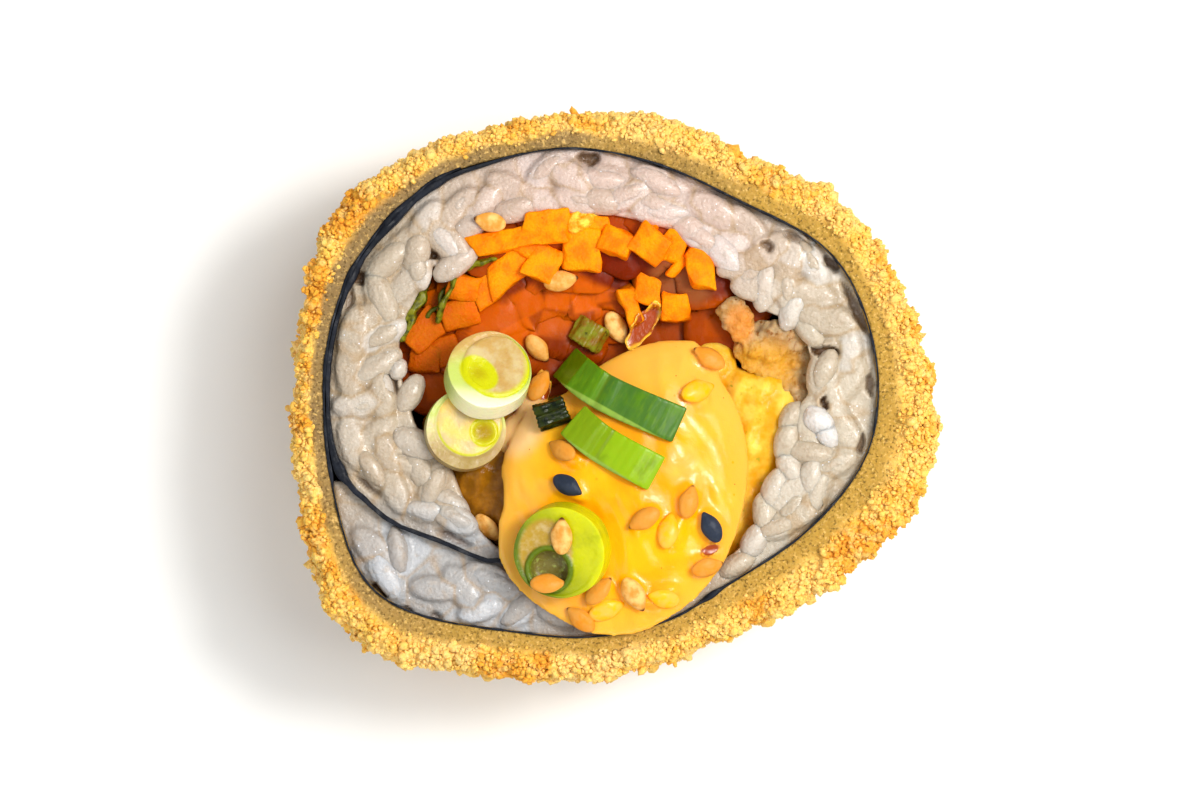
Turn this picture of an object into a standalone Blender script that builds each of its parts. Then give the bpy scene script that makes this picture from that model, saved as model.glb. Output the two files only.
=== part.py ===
"""A slice of deep-fried maki roll, lying on one cut face with its fillings and toppings up.

A sheet of nori, wound one turn and a fifth, holds a spiral of rice. Inside the rice are
carrot sticks, two leaf shreds, avocado and a flaked filling, and round the nori is a coat
of fried crumbs. Sauce, sesame seeds and pieces of spring onion lie on the upper cut face.
Lengths are in millimetres, and each mesh is scaled to metres when its object is made. The
origin is on the table under the middle of the slice. Outlines run clockwise.
"""

import math
import random

import bmesh
import bpy
import numpy as np
from mathutils import Euler, Matrix, Vector, noise
from mathutils.bvhtree import BVHTree

MM = 0.001
GAP = 0.3
DOWN, UP = Vector((0, 0, -1)), Vector((0, 0, 1))
FAR = 0.1  # how far above or below a search ray starts, in metres
CURVE_STEPS = 16  # straight steps between two points of an outline, before it is resampled

# The slice
SLICE_HEIGHT = 24.0
CRUST_OUTLINE = [
    (-2.0, 24.8), (5.7, 23.8), (12.2, 20.9), (19.6, 17.0), (23.4, 12.0), (26.5, 5.1),
    (28.0, -1.8), (26.6, -8.6), (22.3, -12.9), (16.3, -17.6), (9.7, -20.8), (2.0, -23.6),
    (-6.5, -24.5), (-14.1, -23.5), (-20.5, -22.2), (-25.3, -17.0), (-27.4, -9.0),
    (-28.0, 0.0), (-27.0, 8.8), (-24.0, 16.6), (-17.5, 21.3), (-9.5, 23.9),
]
ROLL_OUTLINE = [
    (-3.5, 21.9), (3.8, 20.5), (11.1, 17.2), (18.1, 13.4), (21.6, 8.1), (23.0, 1.1),
    (21.7, -5.5), (16.6, -11.7), (9.3, -16.6), (4.5, -19.4), (-2.2, -20.8), (-9.1, -20.3),
    (-17.0, -18.9), (-21.6, -16.1), (-24.0, -10.6), (-25.3, -2.5), (-25.0, 5.1),
    (-22.3, 12.4), (-16.3, 18.7), (-10.1, 21.1),
]
CAVITY_OUTLINE = [
    (-11.7, 16.0), (-4.8, 16.6), (0.4, 16.1), (5.7, 14.5), (9.6, 11.2), (12.6, 8.2),
    (16.1, 6.4), (17.4, 2.5), (16.5, -1.0), (15.2, -4.4), (13.9, -8.8), (11.7, -12.3),
    (8.7, -14.9), (4.0, -16.0), (-2.0, -16.3), (-7.0, -15.2), (-10.2, -13.2),
    (-12.0, -11.5), (-13.5, -8.5), (-14.8, -5.5), (-17.3, -2.8), (-18.3, 0.0),
    (-19.0, 3.0), (-18.8, 6.0), (-17.3, 9.3), (-16.0, 12.2), (-14.2, 13.6),
]

# The coat of crumbs: its section as (share of the way out, height), with relief on its outer
# side and, from RIM_FROM up, half as much on its top
CRUST_COLUMNS = 132
RIM_FROM, RIM_SHARE = 23.5, 0.5
CRUST_SECTION = [
    (0.0, 0.0), (0.5, 0.0), (0.93, 0.15), (1.0, 1.7), (1.0, 4.5), (1.0, 7.3), (1.0, 10.1),
    (1.0, 12.9), (1.0, 15.7), (1.0, 18.5), (1.0, 21.1), (0.98, 22.9), (0.84, 23.9),
    (0.58, 24.15), (0.28, 23.95), (0.0, 23.7),
]
CRUST_CLEARANCE = 0.12
CRUMB_SIZE, CRUMB_RELIEF = 3.0, 1.5
CREASE_LEVEL, CRUMB_LEVEL = -0.35, 0.2
SWELL_RELIEF = 0.4

# The nori: the depths of its middle below the roll's outline, where it lies once and where
# it lies under its own outer end, and the angles, from +X, between which that is
NORI_THICKNESS = 0.36
NORI_LOW, NORI_HIGH = 0.4, 23.8
NORI_COLUMNS = 118
NORI_DEPTH, NORI_LAP_DEPTH = 0.36, 0.98
LAP_START, LAP_END = math.radians(188), math.radians(122)
LAP_BLEND = math.radians(24)
NORI_TAIL = [
    (-9.5, -14.1), (-11.4, -14.0), (-15.2, -12.4), (-19.3, -10.8), (-22.0, -8.5), (-23.4, -6.3),
]
TAIL_MOUTH = (-8.3, -14.0)
WEDGE_TIP, WEDGE_TIP_RADIUS = (-24.0, -6.2), 1.5

# The rice, and the grains that stand out of its cut face
RICE_CORE_TOP = 23.0
RICE_INSET = 0.84
RICE_SLOT = 0.96
SLOT_POINTS = 46
GRAIN_HALF = (2.6, 1.4, 1.05)
GRAIN_SIZES = (0.82, 1.08)
GRAIN_LEVELS = (-0.25, 0.2)
GRAIN_TILT = 0.25
GRAIN_SPACING = 2.35
GRAIN_TRIES = 6000
GRAIN_SEED = 11
GRAIN_CLEARANCE = {"nori": 0.6, "sauce": 0.6, "onion": 0.3}
RICE_LUMP = ((-14.2, 12.5, 22.9), (1.6, 1.3, 1.0), math.radians(25))

# The fillings
CARROT_OUTLINE = [
    (-17.6, 1.6), (-17.9, 3.6), (-16.8, 5.6), (-14.7, 7.0), (-13.7, 8.9), (-11.9, 10.6),
    (-11.6, 12.6), (-11.8, 14.6), (-8.5, 15.8), (-4.0, 16.1), (0.5, 15.6), (5.4, 13.8),
    (9.0, 10.8), (11.6, 8.0), (9.5, 5.5), (4.0, 2.5), (-3.0, 0.8), (-10.0, -0.6), (-15.0, -0.2),
]
CARROT_CORE_TOP, STICK_ROOT = 19.6, 1.0
# Each stick end: middle, length, width, turn in degrees, top
CARROT_STICKS = [
    ((-9.7, 13.6), 4.7, 2.2, 9, 23.4),
    ((-5.9, 14.7), 3.8, 2.2, -5, 23.6),
    ((-2.9, 15.0), 2.2, 1.5, 8, 23.3),
    ((-3.4, 12.7), 3.6, 2.5, 82, 22.9),
    ((-0.2, 13.6), 3.6, 2.3, -25, 23.5),
    ((3.2, 13.2), 3.0, 2.2, -30, 23.6),
    ((5.1, 12.2), 2.4, 1.8, 65, 23.0),
    ((7.0, 10.6), 3.0, 1.7, -77, 23.3),
    ((5.5, 11.3), 2.6, 0.9, 50, 22.4),
    ((-6.3, 11.6), 2.8, 2.4, -12, 22.2),
    ((-9.3, 11.0), 3.6, 2.4, 35, 22.0),
    ((-11.8, 9.5), 3.0, 1.9, -15, 21.8),
    ((-13.2, 7.2), 2.4, 2.0, 80, 21.6),
    ((-16.2, 4.1), 2.5, 2.5, 40, 21.2),
    ((2.8, 9.7), 2.3, 2.2, -12, 21.5),
    ((5.5, 7.9), 2.6, 2.3, 2, 21.7),
    ((1.4, 8.2), 3.5, 1.5, -65, 21.6),
    ((-0.9, 9.6), 2.2, 2.0, 10, 20.7),
    ((-7.4, 8.5), 2.6, 2.0, 20, 20.5),
    ((-4.8, 8.8), 2.2, 1.7, -8, 20.6),
]
AVOCADO_OUTLINE = [
    (15.2, 1.2), (14.9, -3.0), (13.4, -8.5), (11.1, -12.0), (8.1, -14.3), (3.0, -15.6),
    (-2.5, -15.8), (-6.6, -14.7), (-9.7, -12.6), (-11.6, -10.9), (-13.0, -8.1),
    (-14.3, -4.8), (-16.4, -2.5), (-14.6, -0.9), (-10.0, -1.3), (-3.0, 0.1), (4.0, 1.8),
    (9.2, 4.7), (10.4, 2.0),
]
AVOCADO_HEART = (0.0, -7.0)
AVOCADO_TOP, AVOCADO_CROWN, AVOCADO_EDGE = 21.0, 1.0, 0.5
AVOCADO_RINGS = (0.95, 0.75, 0.48, 0.2)
AVOCADO_WAVES, AVOCADO_WAVE_LENGTH = 0.5, 3.3
FLAKE_OUTLINE = [
    (10.4, 4.8), (11.3, 6.0), (12.6, 6.9), (14.0, 6.7), (15.3, 5.9), (16.3, 4.4), (16.5, 2.9),
    (15.6, 2.0), (13.2, 2.4), (11.3, 3.2),
]
FLAKE_CORE_TOP = 21.2
FLAKE_LUMPS, FLAKE_SIZES, FLAKE_LIFT = 20, (0.7, 1.15), 0.5
FLAKE_SEED = 5
LEAF_THICKNESS, LEAF_LOW = 0.45, 0.5
LEAF_COLUMNS, LEAF_WAVE, LEAF_WAVES = 17, 0.16, 2.5
OUTER_LEAF = [(-18.2, 5.0), (-17.5, 6.8), (-16.6, 8.7), (-16.0, 10.4)]
INNER_LEAF = [(-16.4, 7.1), (-15.4, 8.2), (-14.7, 9.7), (-13.6, 11.0)]
OUTER_LEAF_TOP, INNER_LEAF_TOP = 22.6, 21.2

# The sauce
SAUCE_OUTLINE = [
    (2.2, 4.7), (6.5, 5.3), (8.1, 4.3), (9.3, 1.8), (10.7, -0.5), (11.6, -3.6),
    (11.7, -7.0), (11.0, -10.5), (9.7, -14.0), (7.4, -17.2), (3.0, -20.1), (-0.4, -20.7),
    (-3.5, -20.1), (-6.1, -18.5), (-8.3, -16.8), (-10.0, -14.4), (-10.3, -11.4),
    (-9.7, -8.8), (-10.0, -5.5), (-8.7, -2.7), (-7.4, -0.5), (-4.8, 0.3), (-2.2, 2.5),
]
SAUCE_HEART = (0.8, -8.0)
SAUCE_CROWN = 26.0
SAUCE_COLUMNS = 48
SAUCE_UNDER_RINGS = (0.15, 0.38, 0.6, 0.8, 0.95)
SAUCE_TOP_RINGS = (0.98, 0.91, 0.78, 0.6, 0.38, 0.15)
SAUCE_REACH = 2.0
SAUCE_EDGE, SAUCE_LEAST = 0.3, 0.6
SAUCE_SWELL, SAUCE_SHOULDER = 2.3, 0.75
SAUCE_WAVES, SAUCE_WAVE_LENGTH = 0.5, 4.5
# Where onion pieces press into it: middle, radius, depth
SAUCE_DENTS = [((-5.2, -13.3), 6.5, 1.6), ((-5.5, -1.5), 3.5, 0.9)]

# Sesame seeds: middle and the way the pointed end faces, in degrees
SEED_HALF = (1.6, 0.95, 0.5)
SEED_LIFT, SEED_TAPER = 0.15, 0.3
SEED_ON_CARROT = [((-10.9, 14.7), 165), ((-4.6, 10.7), 15), ((0.9, 6.3), -58), ((-5.6, 4.5), -50)]
SEED_ON_SAUCE = [
    ((8.1, 3.3), 160), ((7.2, 0.5), 120), ((-3.9, -4.8), 140), ((-3.6, -7.9), -40),
    ((8.3, -11.0), 120), ((2.5, -10.6), -130), ((5.2, -11.6), 70), ((6.3, -8.8), 95),
    ((1.9, -16.8), -50), ((-1.2, -17.0), 50), ((4.2, -17.0), 30), ((7.9, -14.4), 5),
]
SEED_ON_AVOCADO = [((-12.2, -7.2), -110)]

# The spring onion rings: middle, radius, length, lean as (degrees, direction in degrees),
# and the hollow in the upper face as (x, y, radius, depth)
ONION_RINGS = {
    "onion_ring_lower": ((-13.0, -2.7), 3.5, 1.9, (9, 40), (0.9, -0.9, 1.5, 0.7)),
    "onion_ring_upper": ((-11.0, 2.1), 3.75, 2.5, (26, 70), (-0.2, 0.1, 2.9, 0.3)),
    "onion_ring_front": ((-4.6, -13.1), 4.1, 2.8, (14, 215), (-0.9, -1.6, 1.3, 1.6)),
}
RING_SIDES, RING_TAPER, RING_WALL = 26, 0.97, 0.2
# The line of each strip's middle
LOWER_STRIP = [(-3.2, -2.1), (-0.8, -4.1), (3.6, -6.5)]
UPPER_STRIP = [(-4.3, 3.2), (-0.9, 0.6), (5.6, -2.3)]
STRIP_WIDTH, STRIP_THICKNESS, STRIP_ARCH = 2.9, 0.45, 0.35
STRIP_COLUMNS = 9
# The curls, which are arcs of a flattened onion leaf: middle, radius, width, arc, turn, lean
DARK_CURL = ((-5.9, -1.3), 1.2, 2.8, 200, 20, 8)
GLAZED_CURL = ((-2.4, 5.9), 1.6, 2.4, 170, 60, 14)
CURL_THICKNESS, CURL_RIB = 0.55, 0.12
CURL_COLUMNS = 10

# Colours are linear RGB, each with its roughness
MATERIALS = {
    "fried_crumb": ((0.74, 0.42, 0.08), 0.75),
    "dried_seaweed": ((0.006, 0.008, 0.013), 0.45),
    "cooked_rice": ((0.76, 0.72, 0.69), 0.35),
    "carrot": ((0.92, 0.27, 0.01), 0.4),
    "leaf": ((0.09, 0.14, 0.02), 0.4),
    "avocado_flesh": ((0.42, 0.32, 0.05), 0.4),
    "flaked_filling": ((0.80, 0.58, 0.33), 0.55),
    "spicy_sauce": ((0.95, 0.47, 0.08), 0.18),
    "onion_pale": ((0.72, 0.74, 0.36), 0.3),
    "onion_green": ((0.08, 0.26, 0.01), 0.35),
    "onion_dark": ((0.012, 0.045, 0.006), 0.3),
}


def smooth(points, count, closed=True):
    """Evenly spaced points on the Catmull-Rom curve through the given ones."""
    knots = np.array(points, float)
    total = len(knots)
    share = np.linspace(0, 1, CURVE_STEPS, endpoint=False)[:, None]
    dense = []
    for i in range(total if closed else total - 1):
        around = [i - 1, i, i + 1, i + 2]
        if not closed:
            around = np.clip(around, 0, total - 1)
        a, b, c, d = knots[np.mod(around, total)]
        curve = 2 * b + (c - a) * share + (2 * a - 5 * b + 4 * c - d) * share**2
        dense.append(0.5 * (curve + (3 * b - a - 3 * c + d) * share**3))
    dense.append(knots[:1] if closed else knots[-1:])
    dense = np.vstack(dense)
    run = np.concatenate([[0], np.cumsum(np.linalg.norm(np.diff(dense, axis=0), axis=1))])
    stops = np.linspace(0, run[-1], count, endpoint=not closed)
    return np.column_stack([np.interp(stops, run, dense[:, axis]) for axis in (0, 1)])


def sideways(path, closed=True):
    """Unit normals to the left of travel, which is outward on a clockwise outline."""
    if closed:
        along = np.roll(path, -1, axis=0) - np.roll(path, 1, axis=0)
    else:
        along = np.gradient(path, axis=0)
    along = along / np.linalg.norm(along, axis=1)[:, None]
    return np.column_stack([-along[:, 1], along[:, 0]])


def grow(outline, distance):
    return outline + sideways(outline) * distance


def inside(outline, point):
    """Whether a point is inside a closed outline, by counting crossings."""
    x, y = point
    ahead = np.roll(outline, -1, axis=0)
    spans = (outline[:, 1] > y) != (ahead[:, 1] > y)
    low, high = outline[spans], ahead[spans]
    crossing = low[:, 0] + (y - low[:, 1]) * (high[:, 0] - low[:, 0]) / (high[:, 1] - low[:, 1])
    return bool(np.count_nonzero(crossing > x) % 2)


def distance_to(path, point):
    return float(np.min(np.hypot(path[:, 0] - point[0], path[:, 1] - point[1])))


def raised(outline, height):
    """The outline as 3-D points at one height, or at one height each."""
    return [(x, y, z) for (x, y), z in zip(outline, np.broadcast_to(height, len(outline)))]


def loft(rings, closed=False):
    """Skins rings of points, each to the next. An open run of rings is capped at both ends."""
    bm = bmesh.new()
    rows = [[bm.verts.new(point) for point in ring] for ring in rings]
    ahead = rows[1:] + rows[:1] if closed else rows[1:]
    for near, far in zip(rows, ahead):
        for i, vert in enumerate(near):
            j = (i + 1) % len(near)
            bm.faces.new((vert, near[j], far[j], far[i]))
    if not closed:
        bm.faces.new(rows[0])
        bm.faces.new(rows[-1])
    return bm


def prism(outline, low, high):
    return loft([raised(outline, low), raised(outline, high)])


def upright_band(path, thickness, low, high):
    """A band of even thickness that stands on edge along an open path."""
    side = sideways(path, closed=False) * thickness / 2
    rings = []
    for left, right in zip(path + side, path - side):
        rings.append([(*left, low), (*right, low), (*right, high), (*left, high)])
    return loft(rings)


def material(name):
    """A named material, made on first use."""
    if name in bpy.data.materials:
        return bpy.data.materials[name]
    colour, roughness = MATERIALS[name]
    made = bpy.data.materials.new(name)
    made.use_nodes = True
    shader = made.node_tree.nodes["Principled BSDF"]
    shader.inputs["Base Color"].default_value = (*colour, 1.0)
    shader.inputs["Roughness"].default_value = roughness
    shader.inputs["Metallic"].default_value = 0.0
    return made


def add_object(name, bm, material_name):
    """Turns a mesh in millimetres into a named object in metres."""
    bmesh.ops.recalc_face_normals(bm, faces=bm.faces)
    bmesh.ops.scale(bm, vec=(MM, MM, MM), verts=bm.verts)
    mesh = bpy.data.meshes.new(name)
    bm.to_mesh(mesh)
    bm.free()
    mesh.materials.append(material(material_name))
    body = bpy.data.objects.new(name, mesh)
    bpy.context.scene.collection.objects.link(body)
    return body


def combine(body, tools, operation):
    """Applies one Boolean with a collection of tools, and removes the tools."""
    group = bpy.data.collections.new("tools")
    bpy.context.scene.collection.children.link(group)
    for tool in tools:
        bpy.context.scene.collection.objects.unlink(tool)
        group.objects.link(tool)
    boolean = body.modifiers.new("combine", "BOOLEAN")
    boolean.operation = operation
    boolean.operand_type = "COLLECTION"
    boolean.collection = group
    boolean.solver = "EXACT"
    graph = bpy.context.evaluated_depsgraph_get()
    body_mesh = bpy.data.meshes.new_from_object(body.evaluated_get(graph))
    body.modifiers.clear()
    body.data = body_mesh
    for tool in tools:
        bpy.data.objects.remove(tool)
    bpy.data.collections.remove(group)
    keep_largest(body)


def keep_largest(body):
    """Leaves a mesh its largest shell: sealed hollows are filled, and loose scraps go."""
    bm = bmesh.new()
    bm.from_mesh(body.data)
    shells, seen = [], set()
    for first in bm.faces:
        if first in seen:
            continue
        shell, ahead = [], [first]
        seen.add(first)
        while ahead:
            face = ahead.pop()
            shell.append(face)
            touching = {other for edge in face.edges for other in edge.link_faces} - seen
            seen |= touching
            ahead += sorted(touching, key=lambda other: other.index)
        shells.append(shell)
    shells.sort(key=len)
    scraps = [face for shell in shells[:-1] for face in shell]
    bmesh.ops.delete(bm, geom=scraps, context="FACES")
    bm.to_mesh(body.data)
    bm.free()


def surface(bodies):
    """A search tree of the bodies' faces, in metres, for finding heights."""
    bpy.context.view_layer.update()
    points, faces = [], []
    for body in bodies:
        base = len(points)
        points += [body.matrix_world @ vert.co for vert in body.data.vertices]
        faces += [[base + i for i in face.vertices] for face in body.data.polygons]
    return BVHTree.FromPolygons(points, faces)


def look_down(tree, x, y):
    """The highest point of a surface over (x, y), and its normal, or None twice."""
    spot, normal, _, _ = tree.ray_cast(Vector((x * MM, y * MM, FAR)), DOWN)
    return (None, None) if spot is None else (spot.z / MM, normal)


def rest_height(tree, x, y, reach):
    """The highest point of a surface within reach of (x, y)."""
    heights = [look_down(tree, x, y)[0]]
    for share in (0.35, 0.7, 1.0):
        for turn in np.linspace(0, 2 * math.pi, 12, endpoint=False):
            dx, dy = share * reach * math.cos(turn), share * reach * math.sin(turn)
            heights.append(look_down(tree, x + dx, y + dy)[0])
    return max(height for height in heights if height is not None)


def settle(piece, bodies, step=0.25):
    """Lowers or lifts a piece until it lies one gap above the bodies under it."""
    below, own = surface(bodies), surface([piece])
    corners = [piece.matrix_world @ Vector(corner) for corner in piece.bound_box]
    xs = [corner.x for corner in corners]
    ys = [corner.y for corner in corners]
    lifts = []
    for x in np.arange(min(xs), max(xs), step * MM):
        for y in np.arange(min(ys), max(ys), step * MM):
            top = below.ray_cast(Vector((x, y, FAR)), DOWN)[0]
            bottom = own.ray_cast(Vector((x, y, -FAR)), UP)[0]
            if top and bottom:
                lifts.append(top.z - bottom.z)
    piece.location.z += max(lifts) + GAP * MM


def outline_radius(outline, turns):
    """An outline's distance from the origin at each angle."""
    angles = np.arctan2(outline[:, 1], outline[:, 0])
    order = np.argsort(angles)
    radii = np.hypot(outline[:, 0], outline[:, 1])
    return np.interp(turns, angles[order], radii[order], period=2 * math.pi)


def crumb_relief(x, y, z):
    """How far the coat stands out at a point: flat-topped crumbs with creases between them."""
    spot = Vector((x, y, z)) / CRUMB_SIZE
    nearest = noise.voronoi(spot)[0]
    crumb = min(nearest[1] - nearest[0] + CREASE_LEVEL, CRUMB_LEVEL)
    return CRUMB_RELIEF * (crumb + SWELL_RELIEF * noise.noise(spot / 2))


def make_crust():
    """The coat of fried crumbs, as one section carried round the roll."""
    turns = np.linspace(math.pi, -math.pi, CRUST_COLUMNS, endpoint=False)
    outer = outline_radius(smooth(CRUST_OUTLINE, 720), turns)
    inner = outline_radius(smooth(ROLL_OUTLINE, 720), turns) + CRUST_CLEARANCE
    sections = []
    for turn, near, far in zip(turns, inner, outer):
        section = []
        for share, height in CRUST_SECTION:
            reach = near + (far - near) * share
            x, y, z = reach * math.cos(turn), reach * math.sin(turn), height
            if share > 0 and z > 0:
                relief = crumb_relief(x, y, z)
                x += relief * share**2 * math.cos(turn)
                y += relief * share**2 * math.sin(turn)
                z += RIM_SHARE * relief if z > RIM_FROM else 0.0
            section.append((x, y, z))
        sections.append(section)
    return add_object("panko_crust", loft(sections, closed=True), "fried_crumb")


def nori_path():
    """The line of the nori's middle: the tail inside the rice, then a turn and the lap."""
    roll = smooth(ROLL_OUTLINE, 144)
    normals = sideways(roll)
    angles = np.unwrap(np.arctan2(roll[:, 1], roll[:, 0]))
    start = int(np.argmin(np.abs(np.mod(angles - LAP_START + math.pi, 2 * math.pi) - math.pi)))
    path = [*NORI_TAIL]
    travelled, index, last = 0.0, start, angles[start]
    end = 2 * math.pi + LAP_START - LAP_END
    lap = LAP_START - LAP_END
    while travelled < end:
        blend = np.clip((travelled - lap) / LAP_BLEND, 0, 1)
        blend = blend * blend * (3 - 2 * blend)
        depth = NORI_LAP_DEPTH + (NORI_DEPTH - NORI_LAP_DEPTH) * blend
        path.append(tuple(roll[index] - normals[index] * depth))
        index = (index + 1) % len(roll)
        angle = math.atan2(roll[index][1], roll[index][0])
        travelled += (last - angle) % (2 * math.pi)
        last = angle
    return path


def make_nori(path):
    line = smooth(path, NORI_COLUMNS, closed=False)
    band = upright_band(line, NORI_THICKNESS, NORI_LOW, NORI_HIGH)
    return add_object("nori_sheet", band, "dried_seaweed")


def spindle(centre, half, turn, tilt=0.0, sides=6, rings=4):
    """A low-sided ellipsoid for a grain or a seed, its long axis turned in plan."""
    bm = bmesh.new()
    bmesh.ops.create_uvsphere(bm, u_segments=sides, v_segments=rings, radius=1.0)
    place = Matrix.Translation(centre) @ Matrix.Rotation(turn, 4, "Z") @ Matrix.Rotation(tilt, 4, "Y")
    place = place @ Matrix.Diagonal((*half, 1.0)) @ Matrix.Rotation(math.pi / 2, 4, "Y")
    bmesh.ops.transform(bm, matrix=place, verts=bm.verts)
    return bm


def grain_plan(centre, long, wide, turn):
    """Points over the plan of a grain: its middle, and ten each on its rim and halfway in."""
    plan = [centre]
    for angle in np.linspace(0, 2 * math.pi, 10, endpoint=False):
        for share in (0.5, 1.0):
            point = Vector((share * long * math.cos(angle), share * wide * math.sin(angle)))
            point.rotate(Matrix.Rotation(turn, 2))
            plan.append((centre[0] + point.x, centre[1] + point.y))
    return plan


def rice_room(path):
    """A test of whether a point is over rice that is open to view and clear of its neighbours."""
    edge = grow(smooth(ROLL_OUTLINE, 200), -RICE_INSET)
    cavity = smooth(CAVITY_OUTLINE, 200)
    covered = grow(smooth(SAUCE_OUTLINE, 120), GRAIN_CLEARANCE["sauce"])
    sheet = smooth(path, 700, closed=False)
    ring_middle, ring_radius = ONION_RINGS["onion_ring_lower"][:2]

    def free(point):
        if not inside(edge, point) or inside(cavity, point) or inside(covered, point):
            return False
        if math.dist(point, ring_middle) < ring_radius + GRAIN_CLEARANCE["onion"]:
            return False
        return distance_to(sheet, point) > GRAIN_CLEARANCE["nori"]

    return free


def scatter_grains(path):
    """Grains spread evenly over the open rice."""
    draw = random.Random(GRAIN_SEED)
    free = rice_room(path)
    (west, south), (east, north) = np.min(ROLL_OUTLINE, axis=0), np.max(ROLL_OUTLINE, axis=0)
    grains, centres = [], []
    for _ in range(GRAIN_TRIES):
        x, y = draw.uniform(west, east), draw.uniform(south, north)
        turn, tilt = draw.uniform(0, math.pi), draw.uniform(-GRAIN_TILT, GRAIN_TILT)
        size = draw.uniform(*GRAIN_SIZES)
        half = [size * length for length in GRAIN_HALF]
        crowded = any(math.dist((x, y), other) < GRAIN_SPACING * size for other in centres)
        if crowded or not all(free(point) for point in grain_plan((x, y), *half[:2], turn)):
            continue
        centres.append((x, y))
        centre = (x, y, RICE_CORE_TOP + draw.uniform(*GRAIN_LEVELS))
        grains.append(add_object("grain", spindle(centre, half, turn, tilt), "cooked_rice"))
    return grains


def make_rice(path):
    """The rice: the roll less its cavity and a slot for the nori, with grains on top."""
    edge = grow(smooth(ROLL_OUTLINE, 110), -RICE_INSET)
    rice = add_object("rice", prism(edge, 0.0, RICE_CORE_TOP), "cooked_rice")
    below, above = -1.0, SLICE_HEIGHT + 2
    hollow = add_object("hollow", prism(smooth(CAVITY_OUTLINE, 84), below, above), "cooked_rice")
    slot_line = smooth([TAIL_MOUTH] + path[:SLOT_POINTS], 64, closed=False)
    slot = add_object("slot", upright_band(slot_line, RICE_SLOT, below, above), "cooked_rice")
    tip = bmesh.new()
    bmesh.ops.create_cone(
        tip, cap_ends=True, segments=20, radius1=WEDGE_TIP_RADIUS, radius2=WEDGE_TIP_RADIUS,
        depth=above - below, matrix=Matrix.Translation((*WEDGE_TIP, (above + below) / 2)),
    )
    tip = add_object("tip", tip, "cooked_rice")
    combine(rice, [hollow, slot, tip], "DIFFERENCE")
    centre, half, turn = RICE_LUMP
    lump = add_object("lump", spindle(centre, half, turn, sides=8, rings=6), "cooked_rice")
    combine(rice, [lump, *scatter_grains(path)], "UNION")
    return rice


def stick_end(middle, length, width, turn, top):
    """The end of one carrot stick, which stands out of the bundle's core."""
    bm = bmesh.new()
    bmesh.ops.create_cube(bm, size=1.0)
    low = CARROT_CORE_TOP - STICK_ROOT
    lean = math.radians(3 + turn % 4)
    place = Matrix.Translation((*middle, (low + top) / 2)) @ Matrix.Rotation(math.radians(turn), 4, "Z")
    place = place @ Matrix.Rotation(lean, 4, "X") @ Matrix.Diagonal((length, width, top - low, 1.0))
    bmesh.ops.transform(bm, matrix=place, verts=bm.verts)
    return add_object("stick", bm, "carrot")


def seed(tree, middle, turn, material_name):
    """A sesame seed half sunk in a surface, blunt at one end and pointed at the other."""
    height, normal = look_down(tree, *middle)
    bm = spindle((0, 0, 0), SEED_HALF, 0.0)
    for vert in bm.verts:
        vert.co.y *= 1.0 - SEED_TAPER * vert.co.x / SEED_HALF[0]
    lean = UP.rotation_difference(normal).to_matrix().to_4x4()
    place = Matrix.Translation((*middle, height + SEED_LIFT)) @ lean
    place = place @ Matrix.Rotation(math.radians(turn), 4, "Z")
    bmesh.ops.transform(bm, matrix=place, verts=bm.verts)
    return add_object("seed", bm, material_name)


def add_seeds(body, places, material_name):
    tree = surface([body])
    combine(body, [seed(tree, middle, turn, material_name) for middle, turn in places], "UNION")


def make_carrot():
    """The bundle of carrot sticks: a core with the ends that stand out of it, and its seeds."""
    core = prism(smooth(CARROT_OUTLINE, 60), 0.0, CARROT_CORE_TOP)
    carrot = add_object("carrot_sticks", core, "carrot")
    combine(carrot, [stick_end(*stick) for stick in CARROT_STICKS], "UNION")
    add_seeds(carrot, SEED_ON_CARROT, "carrot")
    return carrot


def make_avocado():
    """The avocado, with a low crown that undulates."""
    outline = smooth(AVOCADO_OUTLINE, 48)
    heart = np.array(AVOCADO_HEART)
    rings = [raised(outline, 0.0), raised(outline, AVOCADO_TOP - AVOCADO_EDGE)]
    for scale in AVOCADO_RINGS:
        ring = heart + (outline - heart) * scale
        waves = [AVOCADO_WAVES * noise.noise(Vector((x, y, 3.0)) / AVOCADO_WAVE_LENGTH) for x, y in ring]
        rings.append(raised(ring, AVOCADO_TOP + AVOCADO_CROWN * (1 - scale**2) + np.array(waves)))
    avocado = add_object("avocado", loft(rings), "avocado_flesh")
    add_seeds(avocado, SEED_ON_AVOCADO, "avocado_flesh")
    return avocado


def make_flakes():
    """The flaked filling: a core with uneven crumbs of it on top."""
    draw = random.Random(FLAKE_SEED)
    outline = smooth(FLAKE_OUTLINE, 36)
    flakes = add_object("flaked_filling", prism(outline, 0.0, FLAKE_CORE_TOP), "flaked_filling")
    lumps = []
    while len(lumps) < FLAKE_LUMPS:
        size = draw.uniform(*FLAKE_SIZES)
        x, y = (draw.uniform(low, high) for low, high in zip(outline.min(axis=0), outline.max(axis=0)))
        if not inside(outline, (x, y)) or distance_to(outline, (x, y)) < size:
            continue
        bm = bmesh.new()
        bmesh.ops.create_icosphere(bm, subdivisions=1, radius=size)
        for vert in bm.verts:
            vert.co *= draw.uniform(0.8, 1.1)
        centre = (x, y, FLAKE_CORE_TOP + draw.uniform(0.0, FLAKE_LIFT))
        bmesh.ops.translate(bm, vec=centre, verts=bm.verts)
        lumps.append(add_object("lump", bm, "flaked_filling"))
    combine(flakes, lumps, "UNION")
    return flakes


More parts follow.
